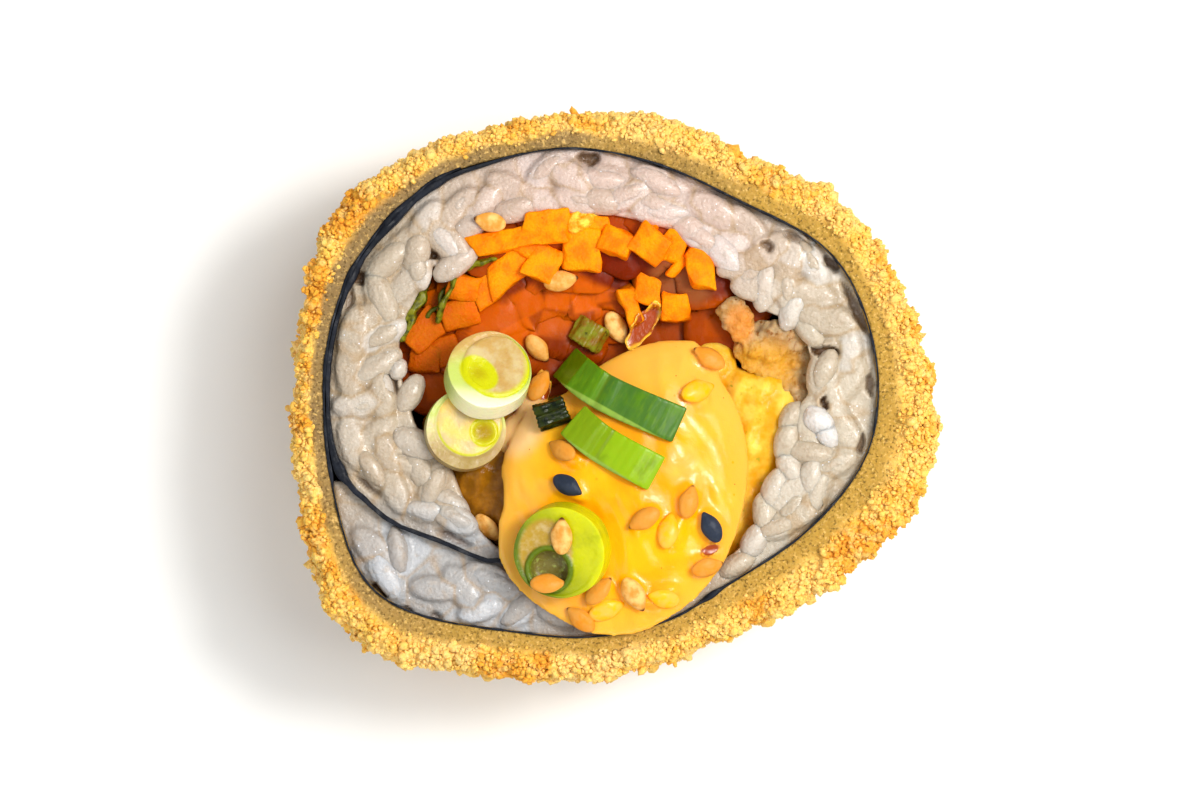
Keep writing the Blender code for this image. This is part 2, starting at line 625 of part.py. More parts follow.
def make_leaf(name, line, top):
    """A leaf shred that stands on edge through the slice, with a wavy course."""
    path = smooth(line, LEAF_COLUMNS, closed=False)
    wave = LEAF_WAVE * np.sin(np.linspace(0, 2 * math.pi * LEAF_WAVES, len(path)))
    path = path + sideways(path, closed=False) * wave[:, None]
    return add_object(name, upright_band(path, LEAF_THICKNESS, LEAF_LOW, top), "leaf")


def sauce_relief(x, y):
    """How far the sauce's top stands above its crown: slow waves, less the dents."""
    relief = SAUCE_WAVES * noise.noise(Vector((x, y, 8.0)) / SAUCE_WAVE_LENGTH)
    for middle, radius, depth in SAUCE_DENTS:
        share = min(math.dist((x, y), middle) / radius, 1.0)
        relief -= depth * (1 - share * share) ** 2
    return relief


def clear_heights(tree, ring):
    """The lowest heights at which a ring of sauce clears the surface round it."""
    return np.array([rest_height(tree, x, y, SAUCE_REACH) for x, y in ring]) + GAP


def make_sauce(bed):
    """The pool of sauce: an underside that clears what it lies on, and a rounded top."""
    rim = smooth(SAUCE_OUTLINE, SAUCE_COLUMNS)
    heart = np.array(SAUCE_HEART)
    tree = surface(bed)
    edge = clear_heights(tree, rim)
    edge = np.max([np.roll(edge, shift) for shift in (-2, -1, 0, 1, 2)], axis=0)
    edge = np.mean([np.roll(edge, shift) for shift in (-2, -1, 0, 1, 2)], axis=0) + SAUCE_EDGE
    rings = []
    for scale in SAUCE_UNDER_RINGS:
        ring = heart + (rim - heart) * scale
        rings.append(raised(ring, clear_heights(tree, ring)))
    rings.append(raised(rim, edge))
    for scale in SAUCE_TOP_RINGS:
        ring = heart + (rim - heart) * scale
        swell = (1 - scale**SAUCE_SWELL) ** SAUCE_SHOULDER
        crown = SAUCE_CROWN + np.array([sauce_relief(x, y) for x, y in ring])
        top = edge + (crown - edge) * swell
        rings.append(raised(ring, np.maximum(top, clear_heights(tree, ring) + SAUCE_LEAST)))
    sauce = add_object("spicy_sauce", loft(rings), "spicy_sauce")
    add_seeds(sauce, SEED_ON_SAUCE, "spicy_sauce")
    return sauce


def make_onion_ring(name, bodies):
    """A short length of onion stem with a hollow in its upper face, leaning on what is below."""
    middle, radius, length, (lean, direction), (hole_x, hole_y, hole_radius, depth) = ONION_RINGS[name]
    bm = bmesh.new()
    bmesh.ops.create_cone(
        bm, cap_ends=True, segments=RING_SIDES, radius1=radius, radius2=radius * RING_TAPER, depth=length
    )
    top = max(bm.faces, key=lambda face: face.calc_center_median().z)
    bmesh.ops.inset_region(bm, faces=[top], thickness=radius * RING_WALL)
    shrink = hole_radius / (radius * (RING_TAPER - RING_WALL))
    bmesh.ops.scale(bm, vec=(shrink, shrink, 1.0), verts=top.verts)
    bmesh.ops.translate(bm, vec=(hole_x, hole_y, 0.0), verts=top.verts)
    floor = bmesh.ops.extrude_discrete_faces(bm, faces=[top])["faces"][0]
    bmesh.ops.translate(bm, vec=(0.0, 0.0, -depth), verts=floor.verts)
    ring = add_object(name, bm, "onion_pale")
    axis = Vector((-math.sin(math.radians(direction)), math.cos(math.radians(direction)), 0.0))
    ring.rotation_euler = Matrix.Rotation(math.radians(lean), 3, axis).to_euler()
    ring.location = (middle[0] * MM, middle[1] * MM, SLICE_HEIGHT * MM)
    settle(ring, bodies)
    return ring


def make_strip(name, line, bodies):
    """A strip of onion leaf that drapes over what it lies on, creased in the middle."""
    path = smooth(line, STRIP_COLUMNS, closed=False)
    side = sideways(path, closed=False) * STRIP_WIDTH / 2
    tree = surface(bodies)
    bed = np.array([rest_height(tree, x, y, STRIP_WIDTH / 2) for x, y in path])
    arch = STRIP_ARCH * np.abs(np.sin(np.linspace(0, 2 * math.pi, len(path))))
    rings = []
    for left, right, low in zip(path + side, path - side, bed + arch):
        high = low + STRIP_THICKNESS
        rings.append([(*left, low), (*right, low), (*right, high), (*left, high)])
    strip = add_object(name, loft(rings), "onion_green")
    settle(strip, bodies)
    return strip


def make_curl(name, shape, bodies, material_name):
    """An arched piece of onion leaf, ribbed along its length."""
    middle, radius, width, arc, turn, lean = shape
    rings = []
    for i, angle in enumerate(np.linspace(-arc / 2, arc / 2, CURL_COLUMNS)):
        outer = radius + (CURL_RIB if i % 2 else -CURL_RIB)
        corners = [(-width / 2, outer), (width / 2, outer)]
        corners += [(width / 2, outer - CURL_THICKNESS), (-width / 2, outer - CURL_THICKNESS)]
        roll = Matrix.Rotation(-math.radians(angle), 3, "X")
        rings.append([roll @ Vector((across, 0.0, out)) for across, out in corners])
    curl = add_object(name, loft(rings), material_name)
    curl.rotation_euler = Euler((math.radians(lean), 0.0, math.radians(turn)))
    curl.location = (middle[0] * MM, middle[1] * MM, SLICE_HEIGHT * MM)
    settle(curl, bodies)
    return curl


def main():
    """Makes every piece, from the roll outwards to its toppings, each resting on those before it."""
    for body in list(bpy.data.objects):
        bpy.data.objects.remove(body)
    path = nori_path()
    roll = [make_crust(), make_nori(path), make_rice(path), make_carrot(), make_avocado(), make_flakes()]
    roll.append(make_leaf("leaf_outer", OUTER_LEAF, OUTER_LEAF_TOP))
    roll.append(make_leaf("leaf_inner", INNER_LEAF, INNER_LEAF_TOP))
    dressed = [*roll, make_sauce(roll)]
    for name in ONION_RINGS:
        dressed.append(make_onion_ring(name, dressed))
    dressed.append(make_strip("onion_strip_lower", LOWER_STRIP, dressed))
    dressed.append(make_strip("onion_strip_upper", UPPER_STRIP, dressed))
    dressed.append(make_curl("onion_curl_dark", DARK_CURL, dressed, "onion_dark"))
    make_curl("onion_curl_glazed", GLAZED_CURL, dressed, "onion_dark")


if __name__ == "__main__":
    main()
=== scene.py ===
"""Looks of a slice of deep-fried maki roll: coat, nori, rice, fillings, sauce and toppings.

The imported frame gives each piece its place. The builders work in millimetres, and every
finished mesh is scaled to metres, with its object at the origin.
"""

import math
import random

import bmesh
import bpy
import numpy as np
from mathutils import Euler, Matrix, Vector, kdtree, noise
from mathutils.bvhtree import BVHTree


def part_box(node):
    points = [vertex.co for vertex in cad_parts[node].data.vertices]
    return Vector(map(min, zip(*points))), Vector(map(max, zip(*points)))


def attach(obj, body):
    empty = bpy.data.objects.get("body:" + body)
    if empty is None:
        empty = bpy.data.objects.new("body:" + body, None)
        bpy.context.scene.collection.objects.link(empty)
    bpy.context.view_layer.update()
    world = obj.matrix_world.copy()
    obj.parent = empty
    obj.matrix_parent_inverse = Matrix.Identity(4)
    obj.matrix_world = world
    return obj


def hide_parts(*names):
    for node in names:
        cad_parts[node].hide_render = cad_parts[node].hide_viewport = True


bl_info = {
    "name": "Fried maki roll slice",
    "version": (1, 0, 0),
    "blender": (4, 5, 0),
    "location": "View3D > Sidebar > Maki roll",
    "description": "Dresses the solids of a fried maki roll slice with food meshes and materials",
    "category": "Mesh",
}

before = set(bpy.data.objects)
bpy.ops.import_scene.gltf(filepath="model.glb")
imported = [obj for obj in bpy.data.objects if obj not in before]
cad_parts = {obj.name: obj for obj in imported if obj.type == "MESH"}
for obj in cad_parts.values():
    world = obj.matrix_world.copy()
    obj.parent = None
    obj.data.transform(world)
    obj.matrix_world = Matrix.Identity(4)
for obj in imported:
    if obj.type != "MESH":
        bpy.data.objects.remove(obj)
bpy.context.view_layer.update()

MM = 0.001
FAR = 100.0  # where a search ray starts, in millimetres above or below
UP, DOWN = Vector((0, 0, 1)), Vector((0, 0, -1))
CUT_TOP = 24.0  # the height of the upper cut face


def paint(code):
    """A colour given as 0xRRGGBB in display values, as linear red, green and blue."""
    parts = [((code >> shift) & 255) / 255 for shift in (16, 8, 0)]
    return tuple(part / 12.92 if part <= 0.04045 else ((part + 0.055) / 1.055) ** 2.4 for part in parts)


# ---- meshes ------------------------------------------------------------------------------


def node_mesh(name):
    """A merged, editable copy of a solid of the frame, in millimetres."""
    bm = bmesh.new()
    bm.from_mesh(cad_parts[name].data)
    bmesh.ops.scale(bm, vec=(1 / MM,) * 3, verts=bm.verts)
    bmesh.ops.remove_doubles(bm, verts=bm.verts, dist=0.002)
    return bm


def node_box(name):
    """A solid's lowest and highest corners, in millimetres."""
    low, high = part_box(name)
    return Vector(low) / MM, Vector(high) / MM


def mesh_of(bm, name):
    """A new mesh that holds what was edited."""
    mesh = bpy.data.meshes.new(name)
    bm.to_mesh(mesh)
    bm.free()
    return mesh


def placed(name, data, place=(0.0, 0.0, 0.0)):
    """A new object in the scene."""
    made = bpy.data.objects.new(name, data)
    bpy.context.scene.collection.objects.link(made)
    made.location = place
    return made


def modified(bm, kind, **settings):
    """The mesh with one modifier applied."""
    mesh = mesh_of(bm, "work")
    holder = placed("work", mesh)
    modifier = holder.modifiers.new("work", kind)
    for key, value in settings.items():
        setattr(modifier, key, value)
    graph = bpy.context.evaluated_depsgraph_get()
    result = bpy.data.meshes.new_from_object(holder.evaluated_get(graph))
    bpy.data.objects.remove(holder)
    bpy.data.meshes.remove(mesh)
    made = bmesh.new()
    made.from_mesh(result)
    bpy.data.meshes.remove(result)
    return made


def refined(bm, levels):
    """A rounded mesh with finer faces."""
    return modified(bm, "SUBSURF", levels=levels, render_levels=levels)


def fused(bm, voxel, rounds=2):
    """One skin round everything in the mesh, with its creases softened."""
    made = modified(bm, "REMESH", mode="VOXEL", voxel_size=voxel)
    every_way = {"use_axis_x": True, "use_axis_y": True, "use_axis_z": True}
    for _ in range(rounds):
        bmesh.ops.smooth_vert(made, verts=made.verts, factor=0.5, **every_way)
    return made


def shifted(bm, moves):
    """Moves every vertex by its own vector."""
    for vert, move in zip(bm.verts, moves):
        vert.co += move


def ripple(spot, size, seed=0.0):
    """Smooth noise from about -1 to 1, with waves of the given size in millimetres."""
    return noise.noise(Vector(spot) / size + Vector((seed, seed * 1.7, -seed)))


def lump(bm, centre, half, turn=0.0, lean=0.0, subdivisions=3, rough=0.0, draw=None):
    """Adds a rounded lump to a mesh: half holds its half sizes."""
    made = bmesh.ops.create_icosphere(bm, subdivisions=subdivisions, radius=1.0)["verts"]
    if rough:
        start = draw.uniform(0, 50)
        for vert in made:
            vert.co *= 1 + rough * ripple(vert.co, 0.7, start) + 0.5 * rough * ripple(vert.co, 0.3, start)
    place = Matrix.Translation(centre) @ Euler((lean, 0.0, turn)).to_matrix().to_4x4()
    bmesh.ops.transform(bm, matrix=place @ Matrix.Diagonal((*half, 1.0)), verts=made)
    return made


def block(bm, middle, length, width, turn, low, top, draw, slack=0.12):
    """Adds a cut stick end with corners that are a little off square."""
    made = bmesh.ops.create_cube(bm, size=1.0)["verts"]
    for vert in made:
        if vert.co.z > 0:
            vert.co.x += draw.uniform(-slack, slack)
            vert.co.y += draw.uniform(-slack, slack)
            vert.co.z += draw.uniform(-0.5, 0.5) * slack
    place = Matrix.Translation((*middle, (low + top) / 2)) @ Matrix.Rotation(math.radians(turn), 4, "Z")
    bmesh.ops.transform(bm, matrix=place @ Matrix.Diagonal((length, width, top - low, 1.0)), verts=made)
    return made


def rounded(bm, offset):
    """Rounds every edge of a mesh."""
    bmesh.ops.bevel(
        bm, geom=list(bm.edges), offset=offset, offset_type="OFFSET", segments=2,
        profile=0.5, affect="EDGES", material=-1, clamp_overlap=True,
    )


def ground(*pieces):
    """A search tree over finished pieces, in millimetres."""
    bm = bmesh.new()
    for piece in pieces:
        bm.from_mesh(piece.data)
    bmesh.ops.scale(bm, vec=(1 / MM,) * 3, verts=bm.verts)
    tree = BVHTree.FromBMesh(bm)
    bm.free()
    return tree


def look_down(tree, x, y):
    """The highest point of a surface over a place, and its normal, or None twice."""
    return tree.ray_cast(Vector((x, y, FAR)), DOWN)[:2]


def set_values(mesh, name, values):
    """Writes one number for each vertex."""
    mesh.attributes.new(name, "FLOAT", "POINT").data.foreach_set("value", np.asarray(values, float))


def set_places(mesh, name, places):
    """Writes one vector for each vertex."""
    flat = np.asarray([tuple(place) for place in places], float).ravel()
    mesh.attributes.new(name, "FLOAT_VECTOR", "POINT").data.foreach_set("vector", flat)


def piece(name, bm, material, slot, nodes, values=None, places=None, flat=False):
    """Makes a finished piece that rides on the roll and stands for its solids."""
    if not flat:
        for face in bm.faces:
            face.smooth = True
    bmesh.ops.scale(bm, vec=(MM,) * 3, verts=bm.verts)
    mesh = mesh_of(bm, name)
    for key, numbers in (values or {}).items():
        set_values(mesh, key, numbers)
    for key, vectors in (places or {}).items():
        set_places(mesh, key, vectors)
    mesh.materials.append(material)
    made = placed(name, mesh)
    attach(made, "root")
    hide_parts(*nodes)
    return made


def scattered(name, shapes, places, material, slot, nodes):
    """One piece of many copies. Each place is a shape's number, a matrix and a tone."""
    bm = bmesh.new()
    tones, counts = [], []
    for number, matrix, tone in places:
        copy = shapes[number].copy()
        copy.transform(matrix)
        bm.from_mesh(copy)
        tones.append(tone)
        counts.append(len(copy.vertices))
        bpy.data.meshes.remove(copy)
    return piece(name, bm, material, slot, nodes, values={"tone": np.repeat(tones, counts)})


CRUMB_SHAPES = 8  # how many shapes each kind of crumb has


def crumb_shapes(subdivisions, draw):
    """Uneven chunks to scatter."""
    shapes = []
    for _ in range(CRUMB_SHAPES):
        bm = bmesh.new()
        half = [draw.uniform(0.7, 1.15) for _ in range(3)]
        lump(bm, (0, 0, 0), half, subdivisions=subdivisions, rough=0.4, draw=draw)
        shapes.append(mesh_of(bm, "crumb"))
    return shapes


# ---- materials ---------------------------------------------------------------------------


def node(tree, kind, inputs=None, **settings):
    """Adds a shader node. Inputs are values, or sockets to link."""
    made = tree.nodes.new("ShaderNode" + kind)
    for key, value in settings.items():
        setattr(made, key, value)
    for key, value in (inputs or {}).items():
        if isinstance(value, bpy.types.NodeSocket):
            tree.links.new(value, made.inputs[key])
        elif hasattr(value, "__len__") and len(value) == 3 and len(made.inputs[key].default_value) == 4:
            made.inputs[key].default_value = (*value, 1.0)
        else:
            made.inputs[key].default_value = value
    return made


def math_of(tree, operation, *values):
    """One sum on numbers."""
    return node(tree, "Math", dict(enumerate(values)), operation=operation).outputs[0]


def waves(tree, given, scale, detail, roughness):
    """Soft noise at the place that a group is given."""
    inputs = {"Vector": given["Place"], "Scale": scale, "Detail": detail, "Roughness": roughness}
    return node(tree, "TexNoise", inputs).outputs[0]


def span(tree, value, low, high, start=0.0, end=1.0):
    """Maps a number smoothly from one span to another."""
    inputs = {"Value": value, "From Min": low, "From Max": high, "To Min": start, "To Max": end}
    return node(tree, "MapRange", inputs, interpolation_type="SMOOTHSTEP").outputs[0]


def group(name, inputs, outputs):
    """A shader node group with named sockets, and its two ends."""
    made = bpy.data.node_groups.new(name, "ShaderNodeTree")
    for label, kind, default in inputs:
        socket = made.interface.new_socket(label, in_out="INPUT", socket_type="NodeSocket" + kind)
        if default is not None:
            socket.default_value = default
    for label, kind in outputs:
        made.interface.new_socket(label, in_out="OUTPUT", socket_type="NodeSocket" + kind)
    return made, made.nodes.new("NodeGroupInput").outputs, made.nodes.new("NodeGroupOutput").inputs


def patches_group():
    """Soft uneven patches of a given size."""
    tree, given, out = group(
        "Uneven patches",
        [("Place", "Vector", None), ("Size", "Float", 2.0), ("Low", "Float", 0.4), ("High", "Float", 0.6)],
        [("Mask", "Float")],
    )
    scale = math_of(tree, "DIVIDE", 1.0, given["Size"])
    height = waves(tree, given, scale, 3.0, 0.55)
    tree.links.new(span(tree, height, given["Low"], given["High"]), out["Mask"])
    return tree


def grain_group():
    """Fine raised grain, from broad dimples to grit."""
    tree, given, out = group(
        "Fine grain", [("Place", "Vector", None), ("Size", "Float", 0.4)], [("Height", "Float")]
    )
    scale = math_of(tree, "DIVIDE", 1.0, given["Size"])
    cells = node(tree, "TexVoronoi", {"Vector": given["Place"], "Scale": scale}, feature="SMOOTH_F1")
    dimples = math_of(tree, "MULTIPLY", cells.outputs["Distance"], 0.5)
    height = math_of(tree, "SUBTRACT", waves(tree, given, scale, 4.0, 0.6), dimples)
    tree.links.new(height, out["Height"])
    return tree


def dots_group():
    """Separate small dots. Share is how many of the cells hold one."""
    tree, given, out = group(
        "Scattered dots",
        [
            ("Place", "Vector", None), ("Spacing", "Float", 1.0), ("Radius", "Float", 0.1),
            ("Share", "Float", 0.5),
        ],
        [("Mask", "Float")],
    )
    scale = math_of(tree, "DIVIDE", 1.0, given["Spacing"])
    cells = node(tree, "TexVoronoi", {"Vector": given["Place"], "Scale": scale})
    reach = math_of(tree, "DIVIDE", given["Radius"], given["Spacing"])
    inner = math_of(tree, "MULTIPLY", reach, 0.6)
    near = span(tree, cells.outputs["Distance"], inner, reach, 1.0, 0.0)
    pick = node(tree, "SeparateColor", {0: cells.outputs["Color"]}).outputs[0]
    chosen = math_of(tree, "LESS_THAN", pick, given["Share"])
    tree.links.new(math_of(tree, "MULTIPLY", near, chosen), out["Mask"])
    return tree


class Finish:
    """A material under construction, with the shared effects ready to place."""

    groups = {}

    def __init__(self, name, **values):
        self.material = bpy.data.materials.new(name)
        self.material.use_nodes = True
        self.tree = self.material.node_tree
        self.shader = self.tree.nodes["Principled BSDF"]
        for key, value in {"Specular_IOR_Level": 0.25, **values}.items():
            self.shader.inputs[key.replace("_", " ")].default_value = value
        object_place = node(self.tree, "TexCoord").outputs["Object"]
        scaled = node(self.tree, "VectorMath", {0: object_place, "Scale": 1 / MM}, operation="SCALE")
        self.place = scaled.outputs[0]

    def effect(self, name, **inputs):
        made = node(self.tree, "Group", node_tree=self.groups[name])
        self.tree.links.new(inputs.pop("Place", self.place), made.inputs["Place"])
        for key, value in inputs.items():
            made.inputs[key].default_value = value
        return made.outputs[0]

    def patches(self, size, low=0.4, high=0.6, **place):
        return self.effect("patches", Size=size, Low=low, High=high, **place)

    def grain(self, size, **place):
        return self.effect("grain", Size=size, **place)

    def dots(self, spacing, radius, share):
        return self.effect("dots", Spacing=spacing, Radius=radius, Share=share)

    def value(self, name):
        return node(self.tree, "Attribute", attribute_name=name).outputs["Fac"]

    def vector(self, name):
        return node(self.tree, "Attribute", attribute_name=name).outputs["Vector"]

    def mix(self, share, low, high):
        """Mixes two colours."""
        return node(self.tree, "Mix", {0: share, 6: low, 7: high}, data_type="RGBA").outputs[2]

    def span(self, value, low, high, start=0.0, end=1.0):
        return span(self.tree, value, low, high, start, end)

    def math(self, operation, *values):
        return math_of(self.tree, operation, *values)

    def times(self, first, second):
        return self.math("MULTIPLY", first, second)

    def vectors(self, operation, first, second):
        return node(self.tree, "VectorMath", {0: first, 1: second}, operation=operation).outputs[0]

    def away(self, centre, stretch=(1.0, 1.0, 1.0), place=None, turn=0.0):
        """The distance from a place, where 1 / stretch is a unit along each axis."""
        moved = self.vectors("SUBTRACT", place or self.place, centre)
        if turn:
            turned = {"Vector": moved, "Angle": math.radians(-turn), "Axis": (0.0, 0.0, 1.0)}
            moved = node(self.tree, "VectorRotate", turned).outputs[0]
        scaled = self.vectors("MULTIPLY", moved, stretch)
        return node(self.tree, "VectorMath", {0: scaled}, operation="LENGTH").outputs["Value"]

    def axis(self, number, place=None):
        return node(self.tree, "SeparateXYZ", {0: place or self.place}).outputs[number]

    def colour(self, socket):
        self.tree.links.new(socket, self.shader.inputs["Base Color"])

    def gloss(self, size, low, high, smooth, rough):
        """Varies the roughness in patches, between two values."""
        shine = self.span(self.patches(size, low, high), 0.0, 1.0, smooth, rough)
        self.tree.links.new(shine, self.shader.inputs["Roughness"])

    def bump(self, height, depth):
        """Raises the surface by a height map: depth is its full relief in millimetres."""
        made = node(self.tree, "Bump", {"Height": height, "Distance": depth * MM, "Strength": 1.0})
        self.tree.links.new(made.outputs[0], self.shader.inputs["Normal"])
        return self.material


def skin(radius, scale):
    """Values for food that light sinks into. Scale is in millimetres."""
    return {"Subsurface_Radius": radius, "Subsurface_Scale": scale * MM}


def make_groups():
    Finish.groups = {"patches": patches_group(), "grain": grain_group(), "dots": dots_group()}


# ---- the coat ----------------------------------------------------------------------------

# Heights of level edges that keep the rounding local
COAT_RINGS = (0.8, 7.0, 15.0, 22.3, 23.2)
NORI_RINGS = (1.0, 3.0, 20.0, 22.5, 23.3)


def ringed(bm, heights):
    """Adds level rings of edges, so that later rounding stays local."""
    for height in heights:
        geometry = list(bm.verts) + list(bm.edges) + list(bm.faces)
        bmesh.ops.bisect_plane(bm, geom=geometry, plane_co=(0, 0, height), plane_no=UP)
    return bm


def coat_reach(tree):
    """Two functions of a place: how far across the coat it is, and the coat's inner radius there."""
    turns = np.linspace(-math.pi, math.pi, 361)
    inner, outer = [], []
    for turn in turns:
        way = Vector((math.cos(turn), math.sin(turn), 0.0))
        middle = Vector((0.0, 0.0, CUT_TOP / 2))
        inner.append(tree.ray_cast(middle, way)[3])
        outer.append(FAR - tree.ray_cast(middle + way * FAR, -way)[3])

    def share(x, y):
        turn, radius = math.atan2(y, x), math.hypot(x, y)
        low, high = np.interp(turn, turns, inner), np.interp(turn, turns, outer)
        return (radius - low) / (high - low)

    def inner_at(x, y):
        return np.interp(math.atan2(y, x), turns, inner)

    return share, inner_at


def smoothstep(value, low, high):
    """A soft step from 0 to 1 between two values."""
    share = min(max((value - low) / (high - low), 0.0), 1.0)
    return share * share * (3 - 2 * share)


def crumb_field(spot, size):
    """Rounded crumbs with creases between them, from 0 to about 1."""
    nearest = noise.voronoi(Vector(spot) / size)[0]
    return min((nearest[1] - nearest[0]) * 1.6, 1.0)


def coat_material(name, colours):
    """Fried crumbs outside, and the fine-pored batter under them at the cut faces."""
    made = Finish(name, Subsurface_Weight=0.2, Roughness=0.7, **skin((1.0, 0.7, 0.3), 0.15))
    tone, batter = made.value("tone"), made.value("batter")
    crumb = made.mix(tone, colours.crumb_pale, colours.crumb_gold)
    # The tone holds real browning, and painted shade at the left of the coat
    crumb = made.mix(made.span(tone, 0.62, 0.95), crumb, colours.crumb_toasted)
    crumb = made.mix(made.times(made.patches(1.3, 0.5, 0.66), 0.7), crumb, colours.crumb_pale)
    # Painted shade: darker patches stand for the shade in the hollows between crumbs
    crumb = made.mix(made.times(made.patches(1.1, 0.56, 0.72), 0.4), crumb, colours.crumb_deep)
    # Painted light and shade: the batter ring is shaded olive at the left and top, and lit tan at the right
    # and bottom
    lit_side = made.math("ADD", made.axis(0), made.times(made.axis(1), -0.6))
    lit_side = made.math("ADD", lit_side, made.times(made.patches(5.0), 9.0))
    dough = made.mix(made.span(lit_side, -26.0, 14.0), colours.batter_olive, colours.batter_tan)
    dough = made.mix(made.times(made.patches(0.3, 0.52, 0.72), 0.5), dough, colours.crumb_pale)
    pores = made.patches(0.26, 0.54, 0.72)
    dough = made.mix(made.times(pores, 0.6), dough, colours.batter_pore)
    made.colour(made.mix(batter, crumb, dough))
    made.gloss(0.4, 0.3, 0.7, 0.5, 0.85)
    height = made.math("SUBTRACT", made.grain(0.35), made.times(pores, 0.6))
    return made.bump(height, 0.16)


# Browner places of the coat: middle, radius, gain
TOASTED = [
    (22.2, -13.1, 5.5, 1.1), (-9.1, -23.1, 5.0, 0.8), (27.5, -0.5, 5.0, 0.5), (-23.0, 16.0, 5.0, 0.5),
    (-27.5, -2.0, 5.0, 0.4), (15.0, 19.0, 4.5, 0.45), (3.0, -23.5, 4.0, 0.5), (-26.5, -11.0, 4.5, 0.4),
]
TOAST_HEIGHT = 22.0  # the browner places are near the upper edge


def toast_and_left_shade(x, y, z):
    """How far a place on the coat is browned, from 0 to 1, with painted shade that darkens its left side."""
    # Painted shade: the level rises towards the left, away from the key light
    level = 0.42 + 0.15 * smoothstep(-x, 14.0, 26.0)
    level = level + 0.6 * ripple((x, y, z), 7.0, 3.0) + 0.5 * ripple((x, y, z), 1.9, 9.0)
    for spot_x, spot_y, radius, gain in TOASTED:
        level += gain * (1 - smoothstep(math.dist((x, y, z), (spot_x, spot_y, TOAST_HEIGHT)), 0.0, radius))
    return level


DOUGH_SHARE = 0.12  # nearer the nori than this share of the coat's width, all is batter
CRUMBS_FROM = 0.36  # loose crumbs lie outside this share
CUT_ZONE = (1.0, 22.6)  # below and above these heights is a cut face
SIDE_TOP = 19.0  # crumbs above this height are pressed in more
RIM_FROM = 21.5  # the rim's own crumbs lie above this height

# Loose crumbs: roundness, whether coarse, size, the share of the width that they reach in to, and
# whether they lie on the rim alone
CRUMB_KINDS = {
    "crumbs_coarse": (2, True, 1.0, 0.5, False),
    "crumbs_fine": (1, False, 0.62, 0.36, False),
    "crumbs_rim": (1, False, 0.66, 0.5, True),
    "crumbs_rim_fine": (1, False, 0.4, 0.34, True),
}


def coat_skin(share_at, solid):
    """The coat's body, and for each vertex how much batter shows and how brown it is."""
    bm = refined(ringed(solid, COAT_RINGS), 2)
    batter, tones, moves = [], [], []
    bm.normal_update()
    for vert in bm.verts:
        x, y, z = vert.co
        share = share_at(x, y)
        faced = max(smoothstep(z, 22.0, 23.2), smoothstep(z, 1.2, 0.4))
        edge = 0.42 + 0.16 * ripple((x, y, z), 2.6, 5.0)
        dough = faced * (1 - smoothstep(share, edge - 0.14, edge + 0.16))
        batter.append(1.0 if share < DOUGH_SHARE else dough)
        tones.append(toast_and_left_shade(x, y, z))
        fluff = smoothstep(share, 0.25, 0.75)
        relief = 0.6 * (crumb_field(vert.co, 1.7) - 0.45)
        relief = relief + 0.45 * ripple(vert.co, 2.6, 2.0) + 0.18 * ripple(vert.co, 0.5, 2.0)
        grit = 0.16 * ripple(vert.co, 0.4, 7.0) + 0.22 * ripple(vert.co, 1.7, 8.0)
        moves.append(vert.normal * (fluff * relief + (1 - fluff) * grit * smoothstep(share, 0.02, 0.12)))
    for vert, move in zip(bm.verts, moves):
        squeeze = 0.28 * (1 - smoothstep(share_at(*vert.co.xy), 0.0, DOUGH_SHARE))
        vert.co.xy *= 1 - squeeze / vert.co.xy.length
        vert.co += move
        vert.co.z = max(vert.co.z, 0.0)
    return bm, {"batter": batter, "tone": tones}


def crumb_places(faces, share_at, count, size, inner, draw):
    """Where crumbs stick to the coat: which kind, its matrix and its tone."""
    weights = np.cumsum([area for _, _, area in faces])
    places = []
    while len(places) < count:
        centre, normal, _ = faces[int(np.searchsorted(weights, draw.uniform(0, weights[-1])))]
        share = share_at(centre.x, centre.y)
        at_cut = not CUT_ZONE[0] <= centre.z <= CUT_ZONE[1]
        if at_cut and share < inner - 0.08 + 0.4 * draw.random():
            continue
        scale = size * draw.lognormvariate(0.0, 0.28)
        spin = Euler([draw.uniform(0, 2 * math.pi) for _ in range(3)]).to_matrix().to_4x4()
        jitter = Vector([draw.uniform(-0.3, 0.3) for _ in range(3)])
        sunk = (-0.4, 0.35) if centre.z > SIDE_TOP else (0.0, 0.5)
        spot = centre + jitter + normal * scale * draw.uniform(*sunk)
        spot.z = max(spot.z, 1.8 * scale)
        tone = toast_and_left_shade(*centre) + draw.gauss(0.0, 0.1)
        wide, thin = scale * draw.uniform(0.8, 1.1), scale * draw.uniform(0.6, 1.0)
        flake = Matrix.Diagonal((scale * 1.15, wide, thin, 1.0))
        places.append((draw.randrange(CRUMB_SHAPES), Matrix.Translation(spot) @ spin @ flake, tone))
    return places


def make_coat(sizes, colours):
    """The crumb coat: a body with relief at every scale, and loose crumbs stuck to it."""
    draw = random.Random(4)
    solid = node_mesh("panko_crust")
    share_at = coat_reach(BVHTree.FromBMesh(solid))[0]
    bm, values = coat_skin(share_at, solid)
    middles = [(face, face.calc_center_median()) for face in bm.faces]
    outside = [
        (middle, face.normal.copy(), face.calc_area()) for face, middle in middles
        if share_at(*middle.xy) > CRUMBS_FROM and middle.z > 0.5
    ]
    skin_material = coat_material("Fried coat", colours)
    piece("crumb_coat", bm, skin_material, "fried_crumb", ["panko_crust"], values=values)
    crumbs = coat_material("Loose crumbs", colours)
    for name, (roundness, coarse, size, inner, rim) in CRUMB_KINDS.items():
        shapes = crumb_shapes(roundness, draw)
        faces = [face for face in outside if not rim or face[0].z > RIM_FROM]
        count = sizes.crumb_count if coarse else sizes.grit_count
        radius = sizes.crumb_radius / MM * size
        places = crumb_places(faces, share_at, count, radius, inner, draw)
        scattered(name, shapes, places, crumbs, "fried_crumb", ["panko_crust"])


# ---- nori and rice -----------------------------------------------------------------------

